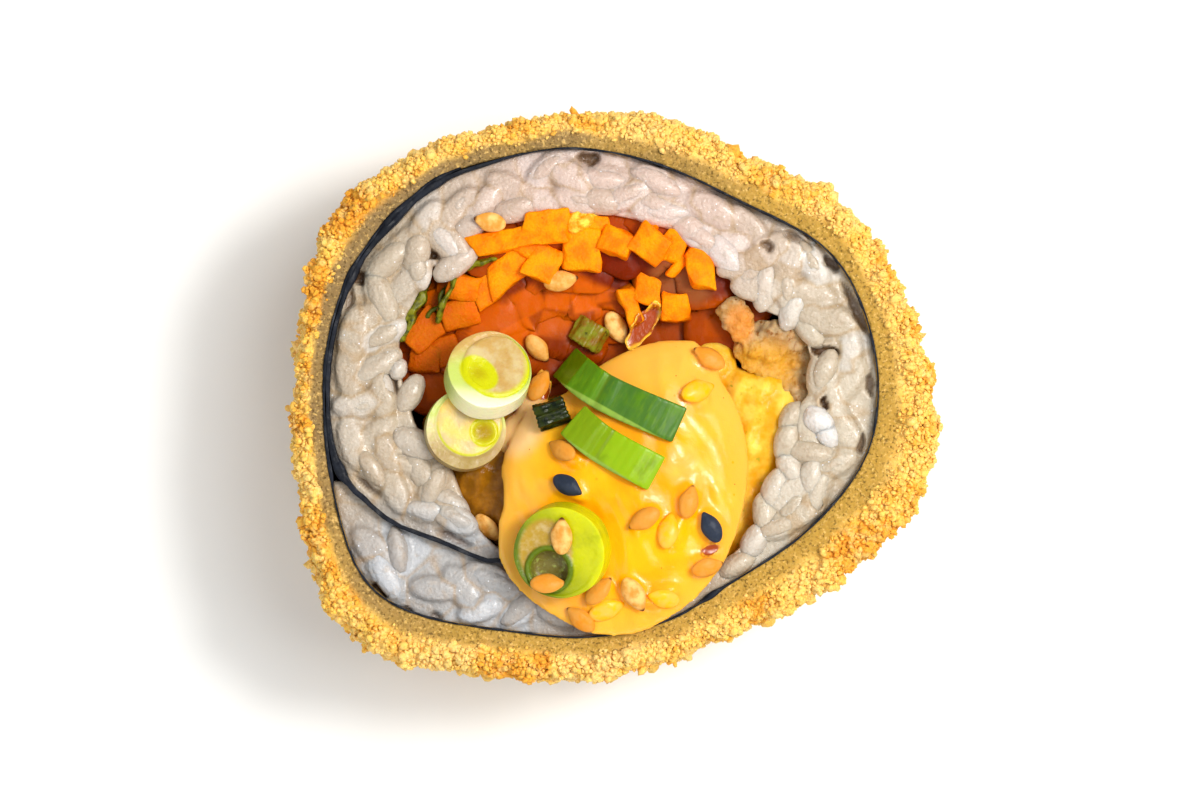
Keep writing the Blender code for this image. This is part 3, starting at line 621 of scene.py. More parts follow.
# Where the nori is doubled or folded: middle, radius, extra thickness
NORI_THICK = [
    (-15.4, 18.2, 2.6, 0.35), (-18.6, 14.9, 3.6, 0.5), (-22.6, 10.6, 2.0, 0.4), (-24.2, 3.0, 5.0, 0.08),
    (-24.6, -3.5, 3.0, 0.15), (8.3, -16.9, 1.6, 0.4), (-23.6, -6.2, 1.6, 0.5),
]


def squeezed(depth):
    """How far under the roll's edge a place of the nori goes, when the sheet is pressed flat."""
    return float(np.interp(depth, (0.0, 0.18, 0.54, 0.8, 1.16, 2.8), (0.0, 0.04, 0.26, 0.3, 0.5, 2.8)))


def press_out(vert, reach):
    """Moves a place of the nori towards the coat."""
    radius = vert.co.xy.length
    inner = reach(*vert.co.xy)
    depth = inner - radius
    if 0.0 < depth < 2.8:
        vert.co.xy *= (inner - squeezed(depth)) / radius


def make_nori(colours):
    """The nori, with a frayed upper edge and uneven thickness."""
    bm = ringed(node_mesh("nori_sheet"), NORI_RINGS)
    inner_reach = coat_reach(BVHTree.FromBMesh(node_mesh("panko_crust")))[1]
    bm = modified(bm, "SUBSURF", levels=2, render_levels=2, subdivision_type="SIMPLE")
    bm.normal_update()
    moves = []
    for vert in bm.verts:
        x, y, z = vert.co
        extra = 0.04 * ripple(vert.co, 1.6, 1.0)
        for spot_x, spot_y, radius, gain in NORI_THICK:
            extra += 0.5 * gain * (1 - smoothstep(math.dist((x, y), (spot_x, spot_y)), 0.0, radius))
        sideways = Vector((vert.normal.x, vert.normal.y, 0.0))
        move = sideways.normalized() * extra if sideways.length > 0.2 else Vector()
        move.z = 0.22 * ripple((x, y, 0.0), 1.1, 4.0) * smoothstep(z, 23.0, 23.8)
        moves.append(move)
    for vert, move in zip(bm.verts, moves):
        press_out(vert, inner_reach)
        vert.co += move
    made = Finish("Nori", Roughness=0.5, Specular_IOR_Level=0.2)
    made.colour(made.mix(made.patches(1.2, 0.4, 0.65), colours.nori_dark, colours.nori_light))
    made.gloss(0.6, 0.4, 0.6, 0.4, 0.65)
    made.bump(made.grain(0.5), 0.08)
    return piece("nori", bm, made.material, "dried_seaweed", ["nori_sheet"])


WALL_REACH = 2.0  # how far a swelling side looks for a wall


def swell(bm, amount, wall=None):
    """Moves the upright sides of a mesh outward, and into a wall where one is within reach."""
    bm.normal_update()
    moves = []
    for vert in bm.verts:
        way = Vector((vert.normal.x, vert.normal.y, 0.0))
        middle = Vector((*vert.co.xy, CUT_TOP / 2))
        gap = wall and way.length > 0.3 and wall.ray_cast(middle, way, WALL_REACH)[3]
        moves.append(way.normalized() * (gap + 0.12) if gap else way * amount * (1 - vert.normal.z ** 2))
    shifted(bm, moves)


# Hollows in the rice's cut face: middle, half length, half width, turn in degrees, depth
POCKETS = [
    (-2.2, 21.0, 0.85, 0.55, -4, 1.3), (3.7, 20.5, 0.5, 0.25, -15, 0.7), (16.0, 13.9, 1.3, 0.4, -30, 0.8),
    (18.9, 11.8, 0.8, 0.45, -50, 1.0), (21.0, 7.9, 2.3, 0.4, -63, 0.9), (22.3, 1.4, 1.0, 0.35, -85, 0.9),
    (21.5, -3.9, 0.8, 0.35, 80, 0.9), (13.3, 13.3, 0.6, 0.4, -50, 1.0), (18.3, 4.1, 1.1, 0.5, -15, 1.3),
    (18.2, -0.3, 0.25, 0.6, 0, 1.3), (-22.4, 10.5, 0.6, 0.6, 0, 1.2), (-23.2, 8.6, 0.3, 1.0, -15, 0.8),
    (-19.4, 1.4, 0.45, 0.9, 15, 0.9), (-17.3, 1.2, 0.3, 0.25, 0, 0.5), (-16.8, -0.9, 0.6, 0.5, -20, 1.4),
    (-17.7, -5.2, 1.1, 0.35, -25, 0.5), (-20.7, -16.7, 0.9, 0.5, -35, 1.3),
    (-18.3, -18.6, 0.7, 0.4, -20, 1.0), (-15.6, -19.0, 0.6, 0.25, -10, 0.8),
    (-16.1, 12.7, 0.7, 0.4, -20, 1.2), (-21.6, -7.6, 1.2, 0.3, -40, 0.8),
    (-14.0, -12.2, 1.5, 0.3, -25, 0.8), (17.6, -9.0, 0.8, 0.3, -60, 0.7),
]


def pocket_depth(x, y):
    """How deep the rice is hollowed at a place."""
    depth = 0.0
    for middle_x, middle_y, long, wide, turn, full in POCKETS:
        away = Vector((x - middle_x, y - middle_y))
        away.rotate(Matrix.Rotation(-math.radians(turn), 2))
        away += Vector((ripple((x, y, 0.0), 0.9, 3.0), ripple((x, y, 0.0), 0.9, 8.0))) * 0.35
        reach = (abs(away.x) / (long * 1.15)) ** 2 + (abs(away.y) / (wide * 1.15)) ** 2
        depth = max(depth, full * (1 - smoothstep(reach, 0.35, 1.4)))
    return depth


def rice_material(colours):
    """Cooked rice: grey to the lower left, pink at the top and cream to the right, wet and translucent, with
    painted shade at the left, between grains and in the hollows, and painted glints.
    """
    made = Finish(
        "Cooked rice", Subsurface_Weight=0.6, Specular_IOR_Level=0.5, Coat_Weight=0.3, Coat_Roughness=0.12,
        **skin((1.0, 0.85, 0.75), 0.6),
    )
    tone, crease, pocket = made.value("tone"), made.value("crease"), made.value("pocket")
    x, y = made.axis(0), made.axis(1)
    # Painted shade: the rice is dimmer at the left, away from the key light
    base = made.mix(made.span(x, -20.0, 6.0), colours.rice_dim, colours.rice_warm)
    # Grey at the lower left: thin rice over the nori, darkened further with painted shade
    low_side = made.times(made.span(y, -7.0, -13.0), made.span(x, 6.0, -8.0))
    base = made.mix(low_side, base, colours.rice_cool)
    top_side = made.times(made.span(x, 20.0, 8.0), made.span(x, -20.0, -7.0))
    base = made.mix(made.times(made.span(y, 4.0, 15.0), top_side), base, colours.rice_pink)
    base = made.mix(made.span(tone, 0.5, 2.0), base, colours.rice_white)
    base = made.mix(made.span(tone, 0.5, 0.0, 0.0, 0.35), base, colours.rice_grey)
    base = made.mix(made.times(made.patches(0.9, 0.5, 0.8), 0.5), base, colours.rice_grey)
    # Painted shade in the lines between grains
    base = made.mix(made.times(crease, 0.5), base, colours.rice_crease)
    # Painted glints: small white dots over the rice
    base = made.mix(made.dots(0.62, 0.08, 0.4), base, colours.rice_white)
    # Painted shade on the floor of the hollows, darker where they are deeper
    made.colour(made.mix(pocket, base, colours.rice_pocket))
    made.gloss(0.7, 0.35, 0.65, 0.16, 0.42)
    return made.bump(made.grain(0.32), 0.13)


EIGHT_WAYS = [(math.cos(math.pi * step / 4), math.sin(math.pi * step / 4), 0.0) for step in range(8)]

# Grains at the rice's inner edge: middle, half length, half width, turn in degrees, height
EDGE_ROWS = [
    (-13.9, 11.8, 2.3, 1.15, 36, 22.9), (13.1, 9.9, 2.4, 1.2, 82, 22.7), (12.0, 11.4, 2.2, 1.2, 60, 22.6),
    (9.6, 12.5, 2.6, 1.3, -48, 22.7), (6.9, 14.6, 2.5, 1.3, -38, 22.7), (15.6, 8.0, 2.2, 1.2, 70, 22.6),
    (17.0, 6.0, 1.9, 1.1, -50, 22.5), (18.3, 2.5, 2.0, 1.05, 70, 22.8), (17.8, -1.9, 1.6, 1.15, -35, 23.1),
    (18.5, -2.9, 1.5, 1.1, -60, 22.9), (15.4, -1.6, 1.5, 1.0, 60, 22.5), (15.0, -3.6, 2.0, 1.1, 75, 22.5),
    (15.3, -6.0, 2.0, 1.1, -65, 22.5), (13.9, -7.9, 2.1, 1.1, 70, 22.4), (13.1, -10.2, 2.1, 1.1, -80, 22.5),
    (12.2, -12.4, 1.9, 1.1, 60, 22.4), (15.6, -9.7, 2.2, 1.2, 55, 22.6), (10.6, -14.5, 1.9, 1.0, 30, 22.4),
    (17.2, -6.8, 1.9, 1.2, 80, 22.8), (-18.9, 2.6, 0.8, 1.0, -20, 22.5), (-17.9, 0.4, 1.9, 1.1, 60, 22.4),
    (-17.4, -3.9, 2.2, 1.3, -25, 22.6), (-16.6, -6.6, 2.4, 1.2, -50, 22.5),
    (-14.4, -9.2, 2.3, 1.2, -40, 22.5), (-17.3, 12.6, 1.2, 2.1, -10, 22.9),
    (-1.4, 17.3, 2.6, 1.3, -8, 22.7), (-8.6, 16.6, 2.5, 1.2, 18, 22.7), (-12.3, 15.4, 2.2, 1.2, 40, 22.8),
    (3.6, 16.9, 2.4, 1.2, -20, 22.7),
]
EDGE_GRAINS = [(x, y, long, wide, math.radians(turn), height) for x, y, long, wide, turn, height in EDGE_ROWS]
WHITE_GRAINS = ((17.8, -1.9), (18.5, -2.9))  # these edge grains are far whiter than the rest
LEAF_CORNER = (-13.3, 10.9)  # where the inner leaf comes out of the rice, so no grain lies there
GRAIN_TRIES = 7000


def grain_places(tree, nori_tree, top, draw, spacing, half):
    """Places for grains all over a slab of rice, also over its inner edge: middle, turn, and size."""
    chosen = []
    for _ in range(GRAIN_TRIES):
        x, y = draw.uniform(-26, 24), draw.uniform(-22, 23)
        turn, size = draw.uniform(0, math.pi), draw.uniform(0.85, 1.15)
        if any(math.dist((x, y), other[:2]) < spacing * size for other in chosen):
            continue
        spin = Matrix.Rotation(turn, 3, "Z")
        long, wide = half[0] * size, half[1] * size
        reaches = [spin @ Vector((way[0] * long, way[1] * wide, 0.0)) for way in EIGHT_WAYS]
        middle = Vector((x, y, CUT_TOP / 2))
        hits = [look_down(tree, x + 0.6 * reach.x, y + 0.6 * reach.y)[0] for reach in reaches]
        crosses = any(nori_tree.ray_cast(middle, reach, reach.length)[0] for reach in reaches)
        clear = math.dist((x, y), LEAF_CORNER) > 2.4
        if clear and not crosses and all(hit is not None and hit.z > top - 0.4 for hit in hits):
            chosen.append((x, y, turn, size))
    return chosen


def rice_face(name, low, high, level, sizes, material, seed, nori_tree):
    """One cut face of the rice: grains pressed into a slab, and fused by starch."""
    draw = random.Random(seed)
    outward = 1 if level > CUT_TOP / 2 else -1
    slab = node_mesh("rice")
    for vert in slab.verts:
        vert.co.z = min(max(vert.co.z, low), high)
    bmesh.ops.dissolve_degenerate(slab, dist=0.001, edges=slab.edges)
    swell(slab, 0.5, nori_tree)
    tree = BVHTree.FromBMesh(slab)
    long, wide = sizes.grain_length / MM / 2, sizes.grain_width / MM / 2
    grains = grain_places(tree, nori_tree, high, draw, sizes.grain_spacing / MM, (long, wide))
    for x, y, turn, size in grains:
        half = (long * size, wide * size, 0.9 * size)
        centre = (x, y, level + draw.uniform(-0.28, 0.14))
        for vert in lump(slab, centre, half, turn, draw.uniform(-0.2, 0.2)):
            proud = outward * (vert.co.z - centre[2]) - 0.55
            vert.co.z -= outward * 0.6 * max(proud, 0.0)
    bm = fused(slab, sizes.rice_detail / MM, 1)
    lookup = kdtree.KDTree(3 * len(grains))
    for number, (x, y, turn, size) in enumerate(grains):
        for part in range(3):
            reach = (part - 1) * 0.5 * long * size
            spot = (x + reach * math.cos(turn), y + reach * math.sin(turn), 0.0)
            lookup.insert(spot, 3 * number + part)
    lookup.balance()
    shades = [draw.random() for _ in grains]
    tones, creases, pocket_shades = [], [], []
    for vert in bm.verts:
        x, y, z = vert.co
        found = lookup.find_n((x, y, 0.0), 6)
        first = found[0][1] // 3
        other = next((distance for _, number, distance in found if number // 3 != first), found[0][2] + 2)
        second = next((number // 3 for _, number, _ in found if number // 3 != first), first)
        apart = smoothstep(other - found[0][2], 0.0, 0.8)
        tones.append(shades[first] * (0.5 + 0.5 * apart) + shades[second] * (0.5 - 0.5 * apart))
        at_face = smoothstep(outward * (z - level), -0.6, 0.0)
        # Crease: painted shade where two grains meet
        creases.append(at_face * (1 - smoothstep(other - found[0][2], 0.0, 0.45)))
        hollow = pocket_depth(x, y) if outward > 0 else 0.0
        # Painted shade in the hollows, by their depth
        pocket_shades.append(smoothstep(hollow, 0.2, 1.3))
        waving = 0.07 * ripple((x, y, z), 0.8, 6.0) + 0.2 * ripple((x, y, z), 3.5, 2.0)
        vert.co.z += at_face * waving * outward
        vert.co.z -= hollow * at_face
        vert.co.z = max(vert.co.z, 0.02)
    values = {"tone": tones, "crease": creases, "pocket": pocket_shades}
    return piece(name, bm, material, "cooked_rice", ["rice"], values=values), grains


def make_rice(sizes, colours, nori):
    """The rice: a plain body between two cut faces with pressed grains."""
    nori_tree = ground(nori)
    material = rice_material(colours)
    core = node_mesh("rice")
    for vert in core.verts:
        vert.co.z = min(max(vert.co.z, 2.6), 20.9)
    bmesh.ops.dissolve_degenerate(core, dist=0.001, edges=core.edges)
    zeros = np.zeros(len(core.verts))
    body = piece(
        "rice_body", core, material, "cooked_rice", ["rice"],
        values={"tone": zeros + 0.5, "crease": zeros, "pocket": zeros}, flat=True,
    )
    upper, grains = rice_face("rice_upper_face", 20.2, 22.75, 22.9, sizes, material, 12, nori_tree)
    lower, _ = rice_face("rice_lower_face", 1.2, 3.4, 1.1, sizes, material, 21, nori_tree)
    long, wide = sizes.grain_length / MM / 2, sizes.grain_width / MM / 2
    resting = [
        (x, y, 0.95 * long * size, 0.85 * wide * size, turn, 22.72)
        for x, y, turn, size in grains[1::2] if pocket_depth(x, y) < 0.1
    ]
    loose = [
        own_grains("rice_resting_grains", resting, 8, material),
        own_grains("rice_edge_grains", EDGE_GRAINS, 31, material),
    ]
    return [body, upper, lower, *loose]


def own_grains(name, places, seed, material):
    """Grains that keep their own shape: middle, half length, half width, turn in radians, height."""
    draw = random.Random(seed)
    bm = bmesh.new()
    tones = []
    for x, y, half_long, half_wide, turn, height in places:
        half = (half_long, half_wide, min(half_wide, 1.0))
        spot = (x, y, height + draw.uniform(-0.12, 0.08))
        grain = lump(bm, spot, half, turn, draw.uniform(-0.08, 0.08), 4, 0.07, draw)
        tones += [1.25 if spot[:2] in WHITE_GRAINS else draw.uniform(0.1, 1.0)] * len(grain)
    zeros = np.zeros(len(tones))
    values = {"tone": tones, "crease": zeros, "pocket": zeros}
    return piece(name, bm, material, "cooked_rice", ["rice"], values=values)


# ---- fillings ----------------------------------------------------------------------------

# Carrot stick ends that stand dry above the glaze: middle, length, width, turn, top
STICKS = [
    ((-10.1, 13.8), 4.9, 2.3, 10, 23.5), ((-5.8, 15.1), 4.1, 2.6, -3, 23.7),
    ((-3.1, 12.8), 3.9, 3.3, 84, 23.1), ((0.1, 13.7), 3.4, 2.5, -28, 23.6),
    ((3.1, 13.7), 3.1, 2.5, -32, 23.7), ((3.5, 15.6), 1.8, 0.8, 80, 23.3),
    ((5.3, 13.2), 3.2, 2.1, 65, 23.0), ((7.5, 11.4), 3.7, 1.9, -77, 23.4),
    ((5.7, 11.8), 3.3, 0.9, 46, 22.8), ((-6.2, 11.8), 3.2, 2.6, 60, 22.6),
    ((-9.2, 11.3), 5.0, 2.7, 40, 22.2), ((-13.0, 9.6), 2.9, 2.6, -15, 22.1),
    ((-11.2, 9.5), 3.1, 2.2, 35, 21.8), ((-13.7, 7.6), 2.8, 2.9, 25, 21.7),
    ((-16.6, 5.9), 3.8, 2.6, 40, 21.5), ((-16.6, 3.5), 3.0, 2.6, -10, 21.1),
    ((-14.5, 4.2), 2.4, 2.6, 10, 21.2), ((2.7, 9.6), 2.5, 2.4, -12, 22.0), ((5.5, 7.9), 2.7, 2.5, 0, 22.2),
    ((1.4, 8.3), 3.9, 1.7, -65, 22.0), ((-7.6, 13.2), 2.6, 1.6, -20, 22.6),
    ((-1.6, 15.3), 2.2, 1.5, 15, 23.0), ((6.9, 13.7), 1.8, 1.2, -40, 22.9),
]
SOFT_STICK = ((-2.9, 15.7), 23.6)  # the middle and the top of the stick end that is cooked to crumbs
# Stick ends drowned in glaze
DROWNED = [
    ((-7.6, 8.5), 2.8, 2.6, 30, 20.9), ((-5.0, 8.8), 2.4, 2.2, -8, 20.8), ((-10.5, 7.1), 4.6, 2.5, 8, 20.8),
    ((-2.7, 8.6), 2.3, 2.2, 12, 20.6), ((-0.8, 9.4), 2.2, 2.0, 10, 20.9),
    ((-16.3, 8.6), 2.8, 3.6, -15, 19.7), ((-5.3, 6.4), 2.8, 2.4, -15, 20.5),
    ((-8.4, 5.7), 3.0, 2.4, 28, 20.6), ((-11.6, 4.7), 2.8, 2.4, -5, 20.8),
    ((-13.2, 2.6), 2.6, 2.2, 35, 20.8), ((-0.8, 7.2), 2.0, 2.0, 10, 20.3),
    ((-6.2, 3.6), 2.4, 2.2, -35, 20.3), ((-15.4, 1.0), 2.6, 2.2, 10, 20.5),
    ((8.9, 8.9), 2.8, 2.4, 15, 20.4), ((11.2, 8.1), 2.4, 2.2, -20, 20.5), ((-2.9, 10.6), 2.2, 1.8, 5, 20.6),
    ((9.0, 6.3), 2.6, 2.0, -5, 20.4), ((-3.4, 5.0), 2.2, 2.2, 20, 20.2), ((7.2, 9.4), 1.8, 2.0, 30, 20.3),
]
# Deep pools of glaze: middle and how fast they fade along each axis
GLAZE_POOLS = [
    ((-9.3, 9.8, 0.0), (0.4, 1.2, 0.0)), ((-4.4, 3.6, 0.0), (0.3, 0.4, 0.0)),
    ((12.2, 9.6, 0.0), (0.4, 0.6, 0.0)),
]
STICK_FOOT = 18.4
BED_TOP = 19.5


def over_stick(place, stick):
    """One over the middle of a stick's end, and zero past its sides."""
    middle, length, width, turn, _ = stick
    away = place - Vector(middle)
    away.rotate(Matrix.Rotation(-math.radians(turn), 2))
    past = max(abs(away.x) - length / 2, abs(away.y) - width / 2)
    return 1 - smoothstep(past, -0.25, 0.05)


def carrot_finish(name, scatter):
    """Carrot, before its colour: how much light sinks in is given."""
    return Finish(name, Subsurface_Weight=scatter, Specular_IOR_Level=0.08, **skin((1.0, 0.3, 0.04), 0.6))


def glazed_carrot(colours):
    """Drowned carrot ends that shine through brown glaze."""
    made = carrot_finish("Glazed carrot", 0.15)
    base = made.mix(made.value("tone"), colours.glaze, colours.carrot_deep)
    base = made.mix(made.patches(1.8, 0.62, 0.8), base, colours.glaze)
    right = made.span(made.axis(0), 5.6, 7.4)
    base = made.mix(made.times(right, 0.8), base, colours.glaze)
    # Painted shade in the dark gap between the two rows of carrot ends
    gap_shade = made.span(made.away((3.6, 11.0, 0.0), (0.13, 0.42, 0.0), turn=-8), 1.1, 0.8)
    base = made.mix(gap_shade, base, colours.glaze_dark)
    # Painted shade of a hollow in the glaze, in the gap between the carrot rows
    smooth = made.span(made.away((5.8, 10.2, 0.0), (0.34, 0.5, 0.0), turn=-20), 1.2, 0.7)
    base = made.mix(smooth, base, colours.glaze_pocket)
    for middle, stretch in GLAZE_POOLS:
        pool = made.span(made.away(middle, stretch, turn=20), 1.2, 0.5, 0.0, 0.7)
        base = made.mix(pool, base, colours.glaze_dark)
    made.gloss(0.9, 0.3, 0.7, 0.22, 0.5)
    made.colour(base)
    return made.bump(made.grain(0.7), 0.05)


def dry_carrot(colours):
    """Vivid carrot ends, darkened with painted shade where they are low or at the left."""
    made = carrot_finish("Cut carrot", 0.3)
    base = made.mix(made.patches(1.6, 0.35, 0.65), colours.carrot, colours.carrot_light)
    base = made.mix(made.patches(0.5, 0.66, 0.8), base, colours.carrot_deep)
    # Painted shade: the low ends and the ends at the left are darkened
    base = made.mix(made.span(made.axis(2), 20.8, 22.4, 0.9, 0.0), base, colours.carrot_wet)
    left = made.times(made.span(made.axis(0), -10.0, -15.0), 0.7)
    base = made.mix(left, base, colours.carrot_wet)
    made.gloss(0.8, 0.3, 0.7, 0.35, 0.6)
    made.colour(base)
    return made.bump(made.grain(0.3), 0.12)


def make_carrot(colours):
    """The carrot: a body, a glazed heap of drowned ends, and the crisp ends that stand proud."""
    draw = random.Random(9)
    wet, dry = glazed_carrot(colours), dry_carrot(colours)
    core = node_mesh("carrot_sticks")
    bed = node_mesh("carrot_sticks")
    for vert in core.verts:
        vert.co.z = min(vert.co.z, BED_TOP - 0.4)
    for vert in bed.verts:
        vert.co.z = min(max(vert.co.z, 17.8), BED_TOP)
    for mesh in (core, bed):
        bmesh.ops.dissolve_degenerate(mesh, dist=0.001, edges=mesh.edges)
    body = piece("carrot_body", core, dry, "carrot", ["carrot_sticks"], flat=True)
    for middle, length, width, turn, top in DROWNED:
        block(bed, middle, length, width, turn, STICK_FOOT, top, draw, 0.2)
    for middle, length, width, turn, top in STICKS:
        if middle[0] < -8.0 or middle[1] > 10.5:
            block(bed, middle, length + 0.4, width + 0.4, turn, STICK_FOOT, top - 1.4, draw)
    bed = fused(bed, 0.16, 2)
    swell(bed, 1.3)
    shades = [draw.uniform(0.55, 1.0) for _ in DROWNED]
    tones = []
    for vert in bed.verts:
        if vert.co.z > BED_TOP - 0.6:
            vert.co.z += 0.1 * ripple(vert.co, 1.6, 3.0)
        over = [shade * over_stick(vert.co.xy, stick) for shade, stick in zip(shades, DROWNED)]
        tones.append(max(over))
    heap = piece("carrot_glazed", bed, wet, "carrot", ["carrot_sticks"], values={"tone": tones})
    ends = bmesh.new()
    for middle, length, width, turn, top in STICKS:
        block(ends, middle, length, width, turn, STICK_FOOT, top, draw, 0.17)
    rounded(ends, 0.24)
    bmesh.ops.subdivide_edges(ends, edges=ends.edges, cuts=3, use_grid_fill=True)
    for vert in ends.verts:
        spot = vert.co.copy()
        for axis, seed in enumerate((1.0, 2.0, 3.0)):
            vert.co[axis] += 0.32 * ripple(spot, 1.5, seed) + 0.1 * ripple(spot, 0.6, seed)
    sticks = piece("carrot_ends", ends, dry, "carrot", ["carrot_sticks"])
    soft = bmesh.new()
    (x, y), top = SOFT_STICK
    for _ in range(9):
        spot = (x + draw.uniform(-0.9, 0.9), y + draw.uniform(-0.6, 0.6), top - draw.uniform(0.4, 1.4))
        lump(soft, spot, (0.75, 0.6, 0.6), draw.uniform(0, 3), rough=0.3, draw=draw)
    soft = fused(soft, 0.12, 1)
    made = Finish("Soft carrot crumb", Subsurface_Weight=0.5, Roughness=0.4, **skin((1.0, 0.5, 0.1), 1.0))
    made.colour(made.mix(made.patches(0.7, 0.4, 0.6), colours.carrot_light, colours.carrot_yellow))
    made.bump(made.grain(0.25), 0.12)
    crumb = piece("carrot_crumb", soft, made.material, "carrot", ["carrot_sticks"])
    return [body, heap, sticks, crumb]


# Where the leaf shreds run along the top of the fillings: middle line and height
LEAF_RUNS = {
    "leaf_outer": [
        (-15.9, 11.5, 22.6), (-16.5, 10.3, 22.5), (-16.4, 9.2, 22.4), (-17.2, 7.9, 22.2), (-18.3, 6.4, 22.0),
    ],
    "leaf_inner": [
        (-10.7, 12.1, 22.7), (-12.3, 11.8, 22.9), (-14.0, 10.8, 22.7), (-14.2, 9.6, 22.4), (-15.0, 8.4, 22.2),
        (-15.4, 6.8, 22.0),
    ],
}
LEAF_LUMPS = 9  # between two places of a run
LEAF_LEAN = (1.8, 0.0)  # how far the outer and the inner shred sway to the left


def make_leaves(colours):
    """The two leaf shreds, wavy, with a painted highlight in yellow along their upper edges."""
    made = Finish("Leaf", Subsurface_Weight=0.2, Roughness=0.35, **skin((0.5, 1.0, 0.2), 0.6))
    base = made.mix(made.patches(1.3, 0.4, 0.6), colours.leaf, colours.leaf_light)
    # Painted highlight: yellow on the upper parts of the shreds
    edge = made.times(made.span(made.axis(2), 20.9, 22.4), made.patches(0.7, 0.36, 0.56))
    made.colour(made.mix(edge, base, colours.leaf_edge))
    made.bump(made.grain(0.5), 0.1)
    leaves = []
    for number, name in enumerate(("leaf_outer", "leaf_inner")):
        bm = node_mesh(name)
        for vert in bm.verts:
            if vert.co.z > 15.0:
                vert.co.z += 0.2
        run = [Vector(place) for place in LEAF_RUNS[name]]
        for start, end in zip(run, run[1:]):
            along = end - start
            turn = math.atan2(along.y, along.x)
            for step in range(LEAF_LUMPS):
                spot = start + along * step / LEAF_LUMPS
                wide = 0.3 + 0.3 * max(ripple(spot, 2.2, 4.0), -0.5)
                lump(bm, spot, (0.5, wide, 0.55), turn, subdivisions=2)
        bm = fused(bm, 0.11, 3)
        for vert in bm.verts:
            sway = 0.18 * smoothstep(vert.co.z, 17.0, 22.0)
            vert.co.x += sway * (ripple(vert.co, 0.9, 3.0 + number) - LEAF_LEAN[number])
            vert.co.y += sway * ripple(vert.co, 0.9, 6.0 + number)
            vert.co.z += 0.7 * ripple(vert.co, 1.6, 9.0) * smoothstep(vert.co.z, 20.0, 22.0)
        leaves.append(piece(name + "_shred", bm, made.material, "leaf", [name]))
    return leaves


def make_avocado(colours):
    """The avocado: buttery, folded, glazed and darkened with painted shade on the left, and green at its
    outer edge.
    """
    bm = fused(node_mesh("avocado"), 0.3, 4)
    swell(bm, 0.7)
    for vert in bm.verts:
        fold = smoothstep(vert.co.z, 19.5, 20.8)
        along = 0.35 * math.sin(2.6 * vert.co.x - 0.9 * vert.co.y + 1.5 * ripple(vert.co, 3.0))
        vert.co.z += fold * (0.35 * along + 0.3 * ripple(vert.co, 1.6, 4.0))
        if vert.co.x > 8.0:
            vert.co.z += 0.9 * fold * smoothstep(vert.co.x, 9.0, 12.0) * smoothstep(vert.co.y, -9.0, -3.0)
    made = Finish(
        "Avocado", Subsurface_Weight=0.5, Roughness=0.16, Specular_IOR_Level=0.12,
        **skin((1.0, 0.8, 0.15), 1.4),
    )
    base = made.mix(made.patches(1.8, 0.35, 0.65), colours.avocado, colours.avocado_light)
    base = made.mix(made.patches(0.8, 0.6, 0.8), base, colours.avocado_green)
    rim = made.span(made.away((-2.0, -5.0, 0.0), (0.055, 0.075, 0.0)), 1.03, 1.08)
    base = made.mix(rim, base, colours.avocado_green)
    # The left is glazed, and darkened with painted shade
    glazed = made.span(made.axis(0), -5.0, 3.0, 1.0, 0.0)
    murky = made.mix(made.patches(1.6, 0.4, 0.7), colours.glaze_olive, colours.avocado_dim)
    made.colour(made.mix(glazed, base, murky))
    made.bump(made.grain(0.6), 0.1)
    return piece("avocado_flesh", bm, made.material, "avocado_flesh", ["avocado"])


# Heaps of the flaked filling: lumps, middle, spread, height
FLAKE_HEAPS = [
    (10, (10.9, 6.9), (0.8, 1.2), 22.0), (14, (14.2, 4.9), (1.9, 0.8), 21.7),
    (10, (12.6, 3.4), (1.8, 1.0), 21.3), (12, (16.4, 4.0), (1.0, 2.2), 20.6),
    (12, (15.7, -0.6), (0.9, 2.4), 21.0),
]


def make_flakes(colours):
    """The flaked filling: ragged shreds heaped on a core."""
    draw = random.Random(14)
    bm = node_mesh("flaked_filling")
    for count, middle, spread, height in FLAKE_HEAPS:
        for _ in range(count):
            x, y = (draw.uniform(-1, 1) * reach + at for reach, at in zip(spread, middle))
            half = (draw.uniform(0.9, 1.5), draw.uniform(0.7, 1.1), draw.uniform(0.4, 0.6))
            spot = (x, y, height + draw.uniform(-0.25, 0.25))
            lump(bm, spot, half, draw.uniform(0, 3), draw.uniform(-0.2, 0.2), rough=0.1, draw=draw)
    bm = fused(bm, 0.17, 3)
    for vert in bm.verts:
        crumbly = smoothstep(vert.co.z, 20.5, 21.5)
        rough = 0.16 * ripple(vert.co, 0.6, 3.0) + 0.2 * (crumb_field(vert.co, 1.0) - 0.5)
        vert.co += vert.normal * crumbly * rough
    made = Finish("Flaked filling", Subsurface_Weight=0.45, Roughness=0.42, **skin((1.0, 0.6, 0.3), 1.0))
    base = made.mix(made.patches(1.4, 0.4, 0.6), colours.flakes, colours.flakes_light)
    base = made.mix(made.patches(0.6, 0.55, 0.7), base, colours.flakes_deep)
    crown = made.span(made.away((10.9, 6.4, 0.0), (0.7, 0.5, 0.0)), 1.2, 0.5, 0.0, 0.75)
    base = made.mix(crown, base, colours.seed_toasted)
    smeared = made.span(made.away((12.6, 2.6, 0.0), (0.3, 0.4, 0.0)), 1.3, 0.6)
    made.colour(made.mix(made.times(smeared, 0.7), base, colours.avocado))
    made.bump(made.grain(0.3), 0.14)
    return piece("filling_flakes", bm, made.material, "flaked_filling", ["flaked_filling"])


# ---- sauce and seeds ---------------------------------------------------------------------

# The thin pale lobe of sauce beside the onion stems: middle, half sizes, turn
THIN_LOBE = [
    ((-8.6, -3.1, 21.0), (2.2, 1.7, 1.3), 40), ((-7.3, -1.2, 21.1), (1.4, 2.6, 1.2), -10),
    ((-6.4, 1.0, 21.2), (0.7, 1.7, 0.9), 0),
]


